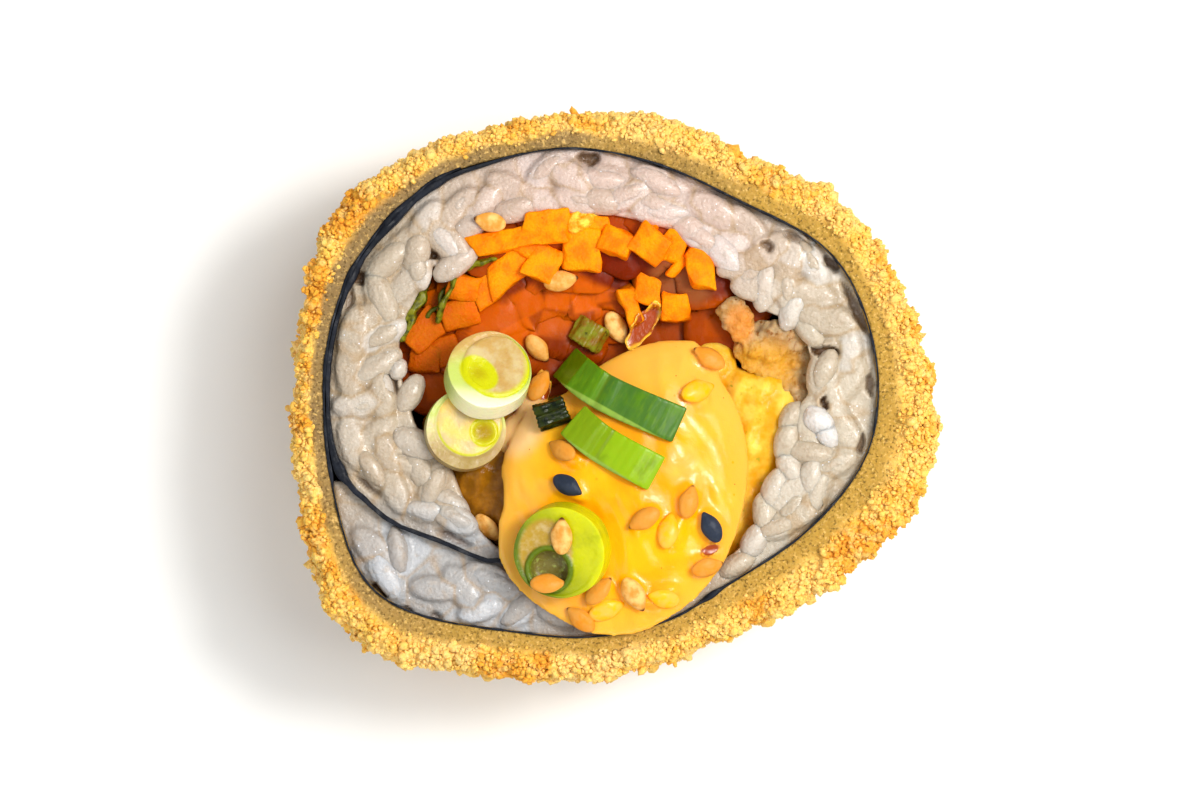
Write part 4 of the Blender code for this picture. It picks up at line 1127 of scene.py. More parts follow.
def make_sauce(colours):
    """The sauce: a thick glossy pool with slow waves and flecks of chilli, thin beside the stems."""
    bm = node_mesh("spicy_sauce")
    for spot, half, turn in THIN_LOBE:
        lump(bm, spot, half, math.radians(turn))
    bm = fused(bm, 0.22, 7)
    low, high = node_box("spicy_sauce")
    for vert in bm.verts:
        top = smoothstep(vert.co.z, low.z + 1.6, high.z - 2.2)
        along, across = 0.45 * vert.co.x - 0.9 * vert.co.y, 0.9 * vert.co.x + 0.45 * vert.co.y
        across += 1.2 * ripple(vert.co, 5.0, 7.0)
        vert.co.z += top * 0.2 * ripple((along * 0.22, across * 0.75, 0.0), 1.0, 2.0)
    made = Finish("Spicy sauce", Subsurface_Weight=0.4, Roughness=0.2, **skin((1.0, 0.55, 0.1), 1.0))
    depth = made.span(made.away((0.8, -8.5, 0.0), (0.095, 0.078, 0.0)), 0.55, 1.15)
    base = made.mix(made.patches(5.0, 0.35, 0.65), colours.sauce, colours.sauce_deep)
    base = made.mix(depth, base, colours.sauce_pale)
    base = made.mix(made.span(made.axis(1), -4.0, 4.0, 0.0, 0.8), base, colours.sauce_pale)
    thin = made.span(made.away((-8.6, -1.4, 0.0), (0.4, 0.28, 0.0)), 1.25, 0.7, 0.0, 0.85)
    base = made.mix(thin, base, colours.sauce_thin)
    base = made.mix(made.dots(1.3, 0.07, 0.3), base, colours.chilli)
    base = made.mix(made.dots(1.7, 0.16, 0.16), base, colours.sauce_deep)
    made.colour(base)
    made.gloss(1.2, 0.3, 0.7, 0.12, 0.2)
    made.bump(made.grain(1.2), 0.05)
    return piece("sauce", bm, made.material, "spicy_sauce", ["spicy_sauce"])


# Seeds: middle, the way the pointed end faces in degrees, and how far they stand out
PALE_SEEDS = [
    (-10.9, 15.4, 165, 0.35), (-4.7, 10.3, 12, 0.6), (0.17, 6.2, -62, 0.35), (-6.75, 4.4, -52, 0.35),
    (-11.1, -11.3, -50, 0.35), (1.65, -16.95, -62, 0.3), (-4.6, -11.8, 88, 0.35),
]
TOASTED_SEEDS = [
    (-6.6, 1.2, 62, 0.25), (2.5, -10.4, -150, 0.2), (6.4, -8.9, 75, 0.25), (-3.0, -19.1, 140, 0.3),
    (-5.8, -15.9, 0, 0.3), (8.0, -14.6, 15, 0.2), (8.2, 3.6, 150, 0.15), (-1.4, -16.6, 45, 0.25),
    (-4.6, -4.4, 150, 0.05),
]
BLACK_SEEDS = [(-4.1, -7.5, -30, 0.4), (8.3, -11.1, 118, 0.4)]
COATED_SEEDS = [
    (-0.7, -18.3, 20, -0.1), (4.2, -17.3, 165, -0.06), (7.2, 0.7, 20, -0.02), (4.6, -11.4, 80, 0.08),
]
# Each kind of seed: size, spots, the colours of its middle, edge and tip, roughness and relief
SEED_KINDS = {
    "pale": (1.0, PALE_SEEDS, ("seed_pale", "seed_edge", "seed_tip"), 0.38, 0.05),
    "toasted": (0.94, TOASTED_SEEDS, ("seed_toasted", "seed_edge", "seed_tip"), 0.38, 0.05),
    "black": (0.94, BLACK_SEEDS, ("seed_black", "seed_black_edge", "seed_black"), 0.38, 0.05),
    "coated": (1.0, COATED_SEEDS, ("sauce_pale", "sauce", "sauce_deep"), 0.15, 0.02),
}
SEED_FEET = ((0, 0), (0.6, 0), (-0.6, 0), (0, 0.6), (0, -0.6))  # where a seed looks for what it lies on


def seed_shape(half):
    """A sesame seed: blunt at one end and drawn out to a point at the other."""
    bm = bmesh.new()
    lump(bm, (0, 0, 0), (1, 1, 1), subdivisions=4)
    for vert in bm.verts:
        along = vert.co.x
        taper = 1.0 - 0.42 * smoothstep(along, 0.1, 1.0) + 0.06 * ripple(vert.co, 0.6)
        rim = 1.0 + 0.05 * (1 - smoothstep(abs(vert.co.z), 0.0, 0.25))
        wide, thick = vert.co.y * half[1] * taper * rim, vert.co.z * half[2] * taper
        vert.co = Vector((along * half[0] * 1.03, wide, thick))
    return mesh_of(bm, "seed")


def lay(tree, x, y, turn, lift):
    """A placement flat on the surface under a place."""
    spots, normals = [], []
    for dx, dy in SEED_FEET:
        spot, normal = look_down(tree, x + dx, y + dy)
        if spot:
            spots.append(spot.z)
            normals.append(normal)
    normal = sum(normals, Vector()).normalized()
    if normal.z < 0.75:
        normal = (normal + UP).normalized()
    lean = UP.rotation_difference(normal).to_matrix().to_4x4()
    height = max(spots) + lift - 0.1
    return Matrix.Translation((x, y, height)) @ lean @ Matrix.Rotation(math.radians(turn), 4, "Z")


def seed_material(name, base, edge, tip, rough, relief):
    """A sesame seed, darker round its edge and at its point."""
    made = Finish(
        name, Subsurface_Weight=0.15, Roughness=rough, Specular_IOR_Level=0.15, **skin((1.0, 0.6, 0.2), 0.3)
    )
    local = made.vector("local")
    along = made.axis(0, local)
    colour = made.mix(made.patches(0.9, 0.35, 0.65), base, edge)
    outer = made.span(made.away((-0.2, 0.0, 0.0), (0.62, 1.05, 0.0), place=local), 0.7, 1.25)
    colour = made.mix(outer, colour, edge)
    colour = made.mix(made.span(made.value("tone"), 0.2, 1.0, 0.0, 0.6), colour, edge)
    made.colour(made.mix(made.span(along, 1.25, 1.5), colour, tip))
    return made.bump(made.grain(0.3), relief)


def make_seeds(sizes, colours, below):
    """Sesame seeds of each kind, lying on whatever is below them."""
    draw = random.Random(3)
    tree = ground(*below)
    length = sizes.seed_length / MM
    half = (length / 2, length * 0.28, length * 0.16)
    for kind, (share, spots, names, rough, relief) in SEED_KINDS.items():
        mesh = seed_shape([share * part for part in half])
        shades = [getattr(colours, name) for name in names]
        material = seed_material(kind.capitalize() + " sesame", *shades, rough, relief)
        bm = bmesh.new()
        tones, local = [], []
        for x, y, turn, lift in spots:
            copy = mesh.copy()
            size = draw.uniform(0.92, 1.06)
            copy.transform(lay(tree, x, y, turn, lift) @ Matrix.Scale(size, 4))
            bm.from_mesh(copy)
            tones += [draw.random()] * len(mesh.vertices)
            local += [vert.co.copy() for vert in mesh.vertices]
        nodes = ["spicy_sauce", "carrot_sticks", "avocado"]
        values, places = {"tone": tones}, {"local": local}
        piece("seeds_" + kind, bm, material, "spicy_sauce", nodes, values, places)


# ---- spring onion ------------------------------------------------------------------------


def terrace(bm, face, steps):
    """Steps inward from a round face: each gives the next ring's middle, radius and height."""
    for x, y, radius, height in steps:
        bmesh.ops.inset_region(bm, faces=[face], thickness=0.01)
        middle = face.calc_center_median()
        for vert in face.verts:
            way = vert.co - middle
            way.z = 0.0
            vert.co = Vector((x, y, height)) + way.normalized() * radius


# The cut onion stems: radius, length, lean, way of the lean, and the steps inward on the upper face
RINGS = {
    "onion_ring_lower": (3.55, 1.9, 9, 40, [
        (0.0, 0.0, 3.45, -0.05), (0.15, 0.35, 3.05, -0.02), (0.25, 0.5, 2.86, -0.16), (0.3, 0.5, 2.7, -0.03),
        (0.8, 0.2, 2.1, 0.0), (1.3, -0.1, 1.48, -0.02), (1.5, -0.25, 1.22, 0.1), (1.5, -0.25, 1.0, 0.12),
        (1.5, -0.25, 0.8, 0.0), (1.5, -0.25, 0.3, -0.12),
    ]),
    "onion_ring_upper": (3.72, 2.5, 26, 70, [
        (0.0, 0.0, 3.6, 0.0), (0.3, 0.15, 3.25, -0.03), (0.55, 0.25, 2.98, -0.16), (0.6, 0.28, 2.85, -0.02),
        (0.6, 0.25, 2.6, 0.05), (0.3, 0.1, 2.1, 0.04), (-0.2, -0.1, 1.6, 0.0), (-0.6, -0.25, 1.3, -0.05),
        (-0.7, -0.3, 0.9, -0.07), (-0.7, -0.3, 0.4, -0.12),
    ]),
    "onion_ring_front": (4.1, 2.8, 14, 215, [
        (0.0, 0.0, 3.95, 0.0), (-0.15, -0.2, 3.6, 0.02), (-0.25, -0.4, 3.35, -0.1), (-0.3, -0.5, 3.2, -0.12),
        (-0.6, -1.0, 2.6, -0.2), (-0.85, -1.4, 2.2, -0.15), (-0.9, -1.5, 2.05, 0.1), (-0.9, -1.5, 1.8, 0.12),
        (-0.9, -1.5, 1.62, -0.1), (-0.9, -1.5, 1.55, -1.2), (-0.9, -1.5, 0.8, -1.35),
    ]),
}


def onion_stem(name):
    """A short length of onion stem, leaning where its solid does. Also gives its own places."""
    radius, length, lean, direction, steps = RINGS[name]
    bm = bmesh.new()
    bmesh.ops.create_cone(bm, cap_ends=True, segments=56, radius1=radius, radius2=radius * 0.98, depth=length)
    top = max(bm.faces, key=lambda face: face.calc_center_median().z)
    terrace(bm, top, [(x, y, size, length / 2 + rise) for x, y, size, rise in steps])
    bmesh.ops.poke(bm, faces=[top])
    ringed(bm, np.linspace(-0.42, 0.46, 5) * length)
    bottom = min(bm.faces, key=lambda face: face.calc_center_median().z)
    terrace(bm, bottom, [(0, 0, share * radius, -length / 2) for share in (0.97, 0.7, 0.3)])
    bmesh.ops.poke(bm, faces=[bottom])
    bm = refined(bm, 1)
    for vert in bm.verts:
        side = Vector((vert.co.x, vert.co.y, 0.0)) * 0.03 * ripple((vert.co.x, vert.co.y, 0.0), 2.6, length)
        vert.co += side
        vert.co.z += 0.07 * ripple(vert.co, 0.9, radius)
    local = [vert.co.copy() for vert in bm.verts]
    way = math.radians(direction)
    axis = Vector((-math.sin(way), math.cos(way), 0.0))
    bmesh.ops.rotate(bm, verts=bm.verts, cent=(0, 0, 0), matrix=Matrix.Rotation(math.radians(lean), 3, axis))
    low, high = node_box(name)
    own_low = Vector([min(vert.co[i] for vert in bm.verts) for i in range(3)])
    own_high = Vector([max(vert.co[i] for vert in bm.verts) for i in range(3)])
    shift = (low + high - own_low - own_high) / 2
    shift.z = low.z - own_low.z
    bmesh.ops.translate(bm, vec=shift, verts=bm.verts)
    return bm, local


def stem_finish(name):
    """Translucent onion, and the stem's own places."""
    made = Finish(name, Subsurface_Weight=0.55, Roughness=0.26, **skin((0.8, 1.0, 0.35), 1.4))
    return made, made.vector("local")


def band(made, distance, middle, half):
    """A soft line where a distance is near a value."""
    off = made.math("ABSOLUTE", made.math("SUBTRACT", distance, middle))
    return made.span(off, half * 0.3, half, 1.0, 0.0)


def lower_stem_material(colours):
    """The lower pale stem: a buttery face with a lime line, a yellow heart and a shaded wall."""
    made, local = stem_finish("Onion stem lower")
    wall = made.mix(made.patches(2.4, 0.3, 0.7), colours.onion_cream, colours.onion_pale)
    disc = made.away((0.28, 0.5, 0.0), (1, 1, 0), place=local)
    face = made.mix(made.patches(2.2, 0.35, 0.65), colours.onion_butter, colours.onion_cream)
    lower = made.span(made.axis(1, local), 1.5, -0.8, 0.0, 0.8)
    face = made.mix(made.times(band(made, disc, 2.8, 0.2), lower), face, colours.onion_lime)
    shade = made.span(made.axis(1, local), 0.5, -2.4, 0.0, 0.85)
    wall = made.mix(shade, wall, colours.onion_shade)
    colour = made.mix(made.span(disc, 2.8, 2.95), face, wall)
    core = made.away((1.55, -0.25, 0.0), (1.05, 1.05, 0), place=local)
    eye = made.mix(made.span(core, 0.3, 1.3, 0.0, 0.8), colours.onion_eye, colours.onion_yellow)
    made.colour(made.mix(made.span(core, 1.45, 1.3), colour, eye))
    return made.bump(made.grain(0.4), 0.06)


def upper_stem_material(colours):
    """The upper pale stem: a blushed face with a lime rim and a yellow heart."""
    made, local = stem_finish("Onion stem upper")
    side = made.math("ADD", made.axis(1, local), made.times(made.axis(0, local), -0.4))
    wall = made.mix(made.span(made.axis(1, local), -1.0, -3.4), colours.onion_pale, colours.onion_white)
    wall = made.mix(made.span(side, 1.2, 3.4), wall, colours.onion_blush)
    disc = made.away((0.6, 0.27, 0.0), (1, 1, 0), place=local)
    face = made.mix(made.patches(1.5, 0.35, 0.65), colours.onion_blush, colours.onion_cream)
    lower = made.span(side, 1.2, -2.4)
    face = made.mix(made.times(made.span(disc, 2.2, 2.75), lower), face, colours.onion_yellow)
    lower_right = made.math("SUBTRACT", made.times(made.axis(0, local), 0.7), made.axis(1, local))
    rim = made.times(band(made, disc, 2.86, 0.2), made.span(lower_right, -1.6, 0.8))
    face = made.mix(rim, face, colours.onion_lime)
    colour = made.mix(made.span(disc, 2.86, 3.0), face, wall)
    blob = made.away((-0.95, -0.35, 0.0), (0.56, 0.72, 0.0), place=local, turn=-45)
    inner = made.mix(made.span(blob, 0.0, 0.7, 0.45, 1.0), colours.onion_eye, colours.onion_yellow)
    made.colour(made.mix(made.span(blob, 1.15, 0.95), colour, inner))
    return made.bump(made.grain(0.4), 0.06)


def front_stem_material(colours):
    """The green stem: lit at the right, with a green inner tube round a murky hole."""
    made, local = stem_finish("Onion stem front")
    side = made.math("ADD", made.axis(0, local), made.times(made.axis(1, local), 0.45))
    wall = made.mix(made.span(side, -3.4, 0.4), colours.onion_green, colours.onion_gold)
    lit = made.times(made.span(side, 0.2, 2.2), made.patches(1.8, 0.2, 0.5))
    wall = made.mix(lit, wall, colours.onion_fresh)
    disc = made.away((-1.2, 0.0, 0.0), (0.43, 0.34, 0.0), place=local)
    face = made.mix(made.patches(0.9, 0.4, 0.8), colours.onion_murky, colours.onion_cream)
    colour = made.mix(made.span(disc, 0.9, 1.1), face, wall)
    tube = made.away((-0.9, -1.5, 0.0), (1, 1, 0), place=local)
    hole = made.mix(made.patches(0.5, 0.5, 0.8), colours.onion_hole, colours.onion_pale)
    colour = made.mix(made.span(tube, 2.3, 2.05), colour, colours.onion_green)
    colour = made.mix(made.span(tube, 1.75, 1.5), colour, hole)
    made.colour(colour)
    return made.bump(made.grain(0.4), 0.08)


def make_stems(colours):
    """The three cut lengths of onion stem."""
    materials = {
        "onion_ring_lower": lower_stem_material(colours),
        "onion_ring_upper": upper_stem_material(colours),
        "onion_ring_front": front_stem_material(colours),
    }
    stems = []
    for name, material in materials.items():
        bm, local = onion_stem(name)
        label = name.replace("ring", "stem")
        stems.append(piece(label, bm, material, "onion_pale", [name], places={"local": local}))
    return stems


# The leaf strips: the two ends of the middle line, where the crease is, how far the cut end reaches
# on, the colours before and after the crease, and the seed of its waves
STRIPS = {
    "onion_strip_lower": ((-3.4, -2.0), (3.7, -6.6), 0.42, 0.6, "onion_lime_leaf", "onion_bright", 7),
    "onion_strip_upper": ((-4.4, 3.2), (5.7, -2.4), 0.36, 0.15, "onion_leaf", "onion_blue", 8),
}


VEIN_WIDTH = 0.7  # between two veins of a leaf


def strip_shape(name):
    """A strip with its crease and veins, its own places, and where along it the crease is."""
    start, end, crease, reach, _, _, seed = STRIPS[name]
    start, end = Vector(start), Vector(end)
    along, length = (end - start).normalized(), (end - start).length
    bm = fused(node_mesh(name), 0.13, 1)
    local = []
    for vert in bm.verts:
        away = vert.co.xy - start
        run, across = away.dot(along), away.dot(along.orthogonal())
        widened = along.orthogonal() * 0.13 * across
        vert.co.xy += widened - along * reach * (1 - smoothstep(run, 0.0, length))
        fold = 1 - smoothstep(abs(run - crease * length), 0.0, 0.7)
        veins = 0.014 * math.sin(run * 2 * math.pi / VEIN_WIDTH + ripple((run, across, 0), 1.5, seed))
        vert.co.z += veins - 0.3 * fold + 0.22 * ripple((run, across * 0.4, 0.0), 2.4, seed)
        local.append((run, across, crease * length))
    return bm, local, crease * length


def strip_material(colours, seed, crease, first, second):
    """Leaf with streaks along its veins, another green past the crease, and pale cut edges."""
    made = Finish(f"Onion leaf {seed}", Subsurface_Weight=0.3, Roughness=0.3, **skin((0.4, 1.0, 0.1), 0.8))
    place = made.vector("local")
    run = made.axis(0, place)
    base = made.mix(made.span(run, crease - 0.2, crease + 0.2), first, second)
    stretched = made.vectors("MULTIPLY", place, (1.0, 0.22, 1.0))
    streaks = made.times(made.patches(0.32, 0.45, 0.8, Place=stretched), 0.3)
    base = made.mix(streaks, base, colours.onion_bright)
    base = made.mix(made.patches(2.2, 0.5, 0.7, Place=place), base, first)
    base = made.mix(made.times(band(made, run, crease, 0.22), 0.4), base, colours.onion_green)
    edge = made.span(made.math("ABSOLUTE", made.axis(1, place)), 1.42, 1.55)
    made.colour(made.mix(edge, base, colours.onion_edge))
    return made.bump(made.grain(0.4, Place=stretched), 0.04)


def make_strips(colours):
    """The two flattened leaf strips, creased across and veined along the leaf."""
    strips = []
    for name, (_, _, _, _, first, second, seed) in STRIPS.items():
        bm, local, crease = strip_shape(name)
        shades = getattr(colours, first), getattr(colours, second)
        material = strip_material(colours, seed, crease, *shades)
        label = name.replace("strip", "leaf")
        strips.append(piece(label, bm, material, "onion_green", [name], places={"local": local}))
    return strips


# The folded leaves: turn, height of the ribs, rounds of softening, shift, and two colours
CURLS = {
    "onion_curl_dark": (20, 0.04, 2, (0.4, 0.0, 0.0), "onion_dark", "leaf"),
    "onion_curl_glazed": (60, 0.02, 6, (0.1, -0.2, 0.0), "onion_olive", "glaze_olive"),
}
RIB_WIDTH = 0.4  # between two ribs of a folded leaf


def make_curls(colours):
    """The ribbed dark piece of leaf and the glazed one."""
    curls = []
    for name, (turn, rib, rounds, shift, first, second) in CURLS.items():
        bm = fused(node_mesh(name), 0.12, rounds)
        across = Vector((-math.sin(math.radians(turn)), math.cos(math.radians(turn)), 0.0))
        bm.normal_update()
        moves = []
        for vert in bm.verts:
            ribs = rib * math.sin(vert.co.dot(across) * 2 * math.pi / RIB_WIDTH)
            moves.append(vert.normal * (ribs + 0.14 * ripple(vert.co, 0.8, 3.0)) + Vector(shift))
        shifted(bm, moves)
        made = Finish(
            "Leaf curl " + name, Subsurface_Weight=0.15, Roughness=0.16, **skin((0.4, 1.0, 0.2), 0.6)
        )
        base = made.mix(made.patches(0.9, 0.35, 0.7), getattr(colours, first), getattr(colours, second))
        made.colour(made.mix(made.patches(0.6, 0.6, 0.75), base, colours.onion_dark))
        made.bump(made.grain(0.35), 0.05)
        curls.append(piece(name.replace("curl", "fold"), bm, made.material, "onion_dark", [name]))
    return curls


# Films of caramelised glaze: middle, long and short half, turn, thickness of the rim, highest place
GLAZE_FILMS = [
    ((2.5, 6.4), 2.4, 0.95, 55, 0.13, 22.3), ((-6.1, 0.2), 1.6, 0.3, 72, 0.08, 22.0),
    ((8.3, -13.1), 0.9, 0.5, 20, 0.08, 26.0),
]


def make_glaze(colours, below):
    """The caramel glaze: small films with a thick rim, paler and with painted highlight, that dried where
    they ran.
    """
    tree = ground(*below)
    bm = bmesh.new()
    rims = []
    for (x, y), long, short, turn, thick, highest in GLAZE_FILMS:
        film = list(lump(bm, (0, 0, 0), (1, 1, 1), subdivisions=4))
        for vert in film:
            reach = vert.co.xy.length
            rim = smoothstep(reach, 0.72, 0.9)
            flat = Vector((vert.co.x * long, vert.co.y * short, 0.0))
            flat.rotate(Matrix.Rotation(math.radians(turn), 3, "Z"))
            flat *= 1 + 0.22 * ripple(flat, 0.8, thick * 9)
            found = look_down(tree, x + flat.x, y + flat.y)[0]
            base = min(max(found.z, highest - 1.1), highest) if found else highest
            height = base + (0.12 + 0.9 * rim * thick) * (1 if vert.co.z > 0 else -1)
            vert.co = Vector((x + flat.x, y + flat.y, height + 0.1 * thick * vert.co.z))
            rims.append(rim)
    made = Finish(
        "Caramel glaze", Subsurface_Weight=0.3, Roughness=0.08, Specular_IOR_Level=0.5,
        **skin((1.0, 0.5, 0.1), 0.6),
    )
    # The rim is paler caramel, with painted highlight
    broken_rim_highlight = made.times(made.value("rim"), made.patches(0.7, 0.3, 0.6))
    made.colour(made.mix(broken_rim_highlight, colours.caramel, colours.caramel_bright))
    made.bump(made.grain(0.4), 0.04)
    piece("glaze_films", bm, made.material, "spicy_sauce", ["spicy_sauce"], values={"rim": rims})


# ---- the stage ---------------------------------------------------------------------------


# The lights: place, width, power and colour
LIGHTS = {
    "Key light": ((0.26, 0.1, 0.52), 0.12, 1.5, (1.0, 0.98, 0.95)),
    "Soft key light": ((0.26, 0.1, 0.52), 0.46, 2.5, (1.0, 0.98, 0.95)),
    "Fill light": ((-0.45, -0.15, 0.6), 0.6, 1.3, (0.8, 0.91, 1.0)),
    "Back light": ((0.1, -0.5, 0.35), 0.3, 0.6, (1.0, 0.98, 0.96)),
}
SKY = {"Color": (0.96, 0.98, 1.0, 1.0), "Strength": 0.42}
CAMERA_PLACE = (-0.0013, -0.0001)  # in plan
SENSOR_WIDTH = 36.0


def area_light(name, place, size, power, colour):
    """A round soft light that faces the middle of the cut face."""
    light = bpy.data.lights.new(name, "AREA")
    light.shape = "DISK"
    light.size = size
    light.energy = power
    light.color = colour
    target = Vector((0.0, 0.0, CUT_TOP * MM))
    made = placed(name, light, place)
    made.rotation_euler = (target - Vector(place)).to_track_quat("-Z", "Y").to_euler()


def make_floor(sizes, colours):
    """The pale floor, which is not part of the roll."""
    bm = bmesh.new()
    bmesh.ops.create_grid(bm, x_segments=8, y_segments=8, size=sizes.floor_size / 2)
    mesh = mesh_of(bm, "floor")
    made = Finish("Pale floor", Roughness=0.6)
    shaded = tuple(0.98 * part for part in colours.floor)
    made.colour(made.mix(made.patches(40.0, 0.3, 0.7), colours.floor, shaded))
    mesh.materials.append(made.material)
    floor = placed("floor", mesh)


def make_stage(sizes, colours):
    """The floor, the soft studio light and the camera straight above."""
    scene = bpy.context.scene
    make_floor(sizes, colours)
    for name, values in LIGHTS.items():
        area_light(name, *values)
    scene.world = bpy.data.worlds.new("Studio")
    scene.world.use_nodes = True
    for key, value in SKY.items():
        scene.world.node_tree.nodes["Background"].inputs[key].default_value = value
    scene.view_settings.view_transform = "Standard"
    camera = bpy.data.cameras.new("Camera")
    camera.sensor_width = SENSOR_WIDTH
    camera.lens = SENSOR_WIDTH * sizes.camera_height / sizes.view_width
    camera.clip_start = 0.01
    scene.camera = placed("Camera", camera, (*CAMERA_PLACE, CUT_TOP * MM + sizes.camera_height))


# ---- the add-on --------------------------------------------------------------------------

# Each colour: label, what it is for, display value
COLOURS = {
    "crumb_gold": ("Crumb gold", "Most of the fried crumbs", 0xFFC84A),
    "crumb_pale": ("Crumb pale", "Lighter crumbs and specks", 0xFFD27C),
    "crumb_toasted": ("Crumb toasted", "Browner crumbs", 0xF0A834),
    # Painted shade of the hollows between crumbs
    "crumb_deep": ("Crumb deep", "Hollows between crumbs", 0xE09C36),
    # The batter's painted shade, then its painted light
    "batter_olive": ("Batter olive", "Batter ring at the cut, cooler", 0x8C7044),
    "batter_tan": ("Batter tan", "Batter ring at the cut, warmer", 0xBA903A),
    "batter_pore": ("Batter pore", "Fine pores in the batter", 0x5E4620),
    "nori_dark": ("Nori dark", "Most of the nori", 0x0B0F18),
    "nori_light": ("Nori light", "Lighter fibres of the nori", 0x181C26),
    # Painted shade of the rice at the left
    "rice_dim": ("Rice dim", "Rice at the left", 0xB8A892),
    # Grey of thin rice over the nori, and painted shade
    "rice_cool": ("Rice cool", "Rice below the lap of the nori", 0xA9A9AA),
    "rice_pink": ("Rice pink", "Rice at the top and right", 0xCBB2A4),
    "rice_warm": ("Rice warm", "Rice beside the fillings", 0xC0B29C),
    # The whitest grains, and the painted glints
    "rice_white": ("Rice white", "The whitest grains", 0xECECF0),
    "rice_grey": ("Rice grey", "Clear grains", 0xA89074),
    # Painted shade between grains
    "rice_crease": ("Rice crease", "Lines between grains", 0xA88450),
    "rice_pocket": ("Rice pocket", "Floor of the hollows", 0x74563A),
    # Painted shade in the hollows
    "carrot": ("Carrot", "Most of the carrot", 0xFF7900),
    "carrot_light": ("Carrot light", "Lighter cut ends", 0xFF9800),
    "carrot_deep": ("Carrot deep", "Shaded and redder parts", 0xD05C00),
    "carrot_yellow": ("Carrot yellow", "The soft yellow crumb", 0xFFD24A),
    # Painted shade on the low and left carrot ends
    "carrot_wet": ("Carrot wet", "Carrot ends under glaze", 0xBC5400),
    # Painted shade of the hollow in the glaze
    "glaze_pocket": ("Glaze pocket", "The smooth brown hollow in the glaze", 0x8A4C24),
    "glaze": ("Glaze", "Brown glaze over the fillings", 0x9C3E00),
    # Deep pools of glaze, and the painted shade in the gap between carrot rows
    "glaze_dark": ("Glaze dark", "Deep pools of glaze", 0x701E00),
    "glaze_olive": ("Glaze olive", "Glaze over avocado", 0x84540A),
    "leaf": ("Leaf", "Most of the leaf shreds", 0x2C3403),
    "leaf_light": ("Leaf light", "Lighter patches of leaf", 0x4E5006),
    # Painted highlight on the leaf's upper edge
    "leaf_edge": ("Leaf edge", "Cut edge of the leaf", 0x7A7810),
    "avocado": ("Avocado", "Most of the avocado", 0xE0A010),
    # Avocado under thin glaze, with painted shade
    "avocado_dim": ("Avocado dim", "Avocado under thin glaze", 0xB07418),
    "avocado_light": ("Avocado light", "Its paler folds", 0xF6C84C),
    "avocado_green": ("Avocado green", "Its outer edge", 0x9CA01E),
    "flakes": ("Flakes", "Most of the flaked filling", 0xAC7C40),
    "flakes_light": ("Flakes light", "Paler shreds", 0xBA9A6E),
    "flakes_deep": ("Flakes deep", "Browner shreds", 0x8C5820),
    "sauce": ("Sauce", "Middle of the sauce", 0xFFB408),
    "sauce_deep": ("Sauce deep", "Stronger patches of sauce", 0xFFA000),
    "sauce_thin": ("Thin sauce", "Sauce thinned to a veil", 0xF0C88C),
    "sauce_pale": ("Sauce pale", "Thin edges of the sauce", 0xF8B444),
    "chilli": ("Chilli", "Flecks in the sauce", 0xB8440E),
    "seed_pale": ("Seed pale", "White sesame", 0xF8C878),
    "seed_edge": ("Seed edge", "Rim of a sesame seed", 0xD89238),
    "seed_tip": ("Seed tip", "Point of a sesame seed", 0x5A2E10),
    "seed_toasted": ("Seed toasted", "Toasted sesame", 0xE08A1E),
    "seed_black": ("Seed black", "Black sesame", 0x1A2230),
    "seed_black_edge": ("Seed black edge", "Rim of a black seed", 0x2E3544),
    "onion_cream": ("Onion cream", "Translucent stem wall", 0xCDB884),
    "onion_white": ("Onion white", "Whitest stem", 0xF0ECC8),
    "onion_shade": ("Onion shade", "Low side of the lower stem", 0xA27E4C),
    "onion_butter": ("Onion butter", "Face of the lower stem", 0xEDCA6C),
    "onion_lime": ("Onion lime", "Thin lines in the stem", 0xC4C808),
    "onion_eye": ("Onion eye", "Middle of the heart", 0xA88A04),
    "onion_yellow": ("Onion yellow", "Heart of the stem", 0xC8C800),
    "onion_pale": ("Onion pale", "Pale green stem wall", 0xBECC67),
    "onion_blush": ("Onion blush", "Face of the upper stem", 0xC29D58),
    "onion_green": ("Onion green", "Green stem wall", 0x5C6E08),
    "onion_bright": ("Onion bright", "Bright leaf", 0x8BAD00),
    "onion_gold": ("Onion gold", "Yellow-green wall of the front stem", 0xA8AC00),
    "onion_murky": ("Onion murky", "Shaded face of the front stem", 0xB3902C),
    "onion_fresh": ("Onion fresh", "Lit face of the front stem", 0xC8C800),
    "onion_hole": ("Onion hole", "Inside the front stem", 0x7E7232),
    "onion_lime_leaf": ("Leaf lime", "Lower leaf strip", 0x779300),
    "onion_leaf": ("Leaf green", "Upper leaf strip", 0x537E00),
    "onion_blue": ("Leaf bluish", "Far half of the upper strip", 0x446E1D),
    "onion_edge": ("Leaf cut edge", "Thin cut edges of the leaf", 0x86A43C),
    "onion_dark": ("Leaf dark", "The dark fold", 0x061204),
    "onion_olive": ("Leaf olive", "The glazed fold", 0x80801C),
    "caramel": ("Caramel", "Dried glaze", 0xA0400A),
    # Paler caramel at the rim, with painted highlight
    "caramel_bright": ("Caramel bright", "Bright rim of the dried glaze", 0xFFC030),
    "floor": ("Floor", "The pale floor", 0xF0F0EE),
}


def colour_property(label, description, code):
    return bpy.props.FloatVectorProperty(
        name=label, description=description, default=paint(code), size=3, min=0.0, max=1.0, subtype="COLOR"
    )


def length_property(label, description, default, low, high):
    return bpy.props.FloatProperty(
        name=label, description=description, default=default, min=low, max=high, unit="LENGTH", precision=5
    )


class MakiColours(bpy.types.PropertyGroup):
    """The colours of the roll."""

    __annotations__ = {key: colour_property(*row) for key, row in COLOURS.items()}


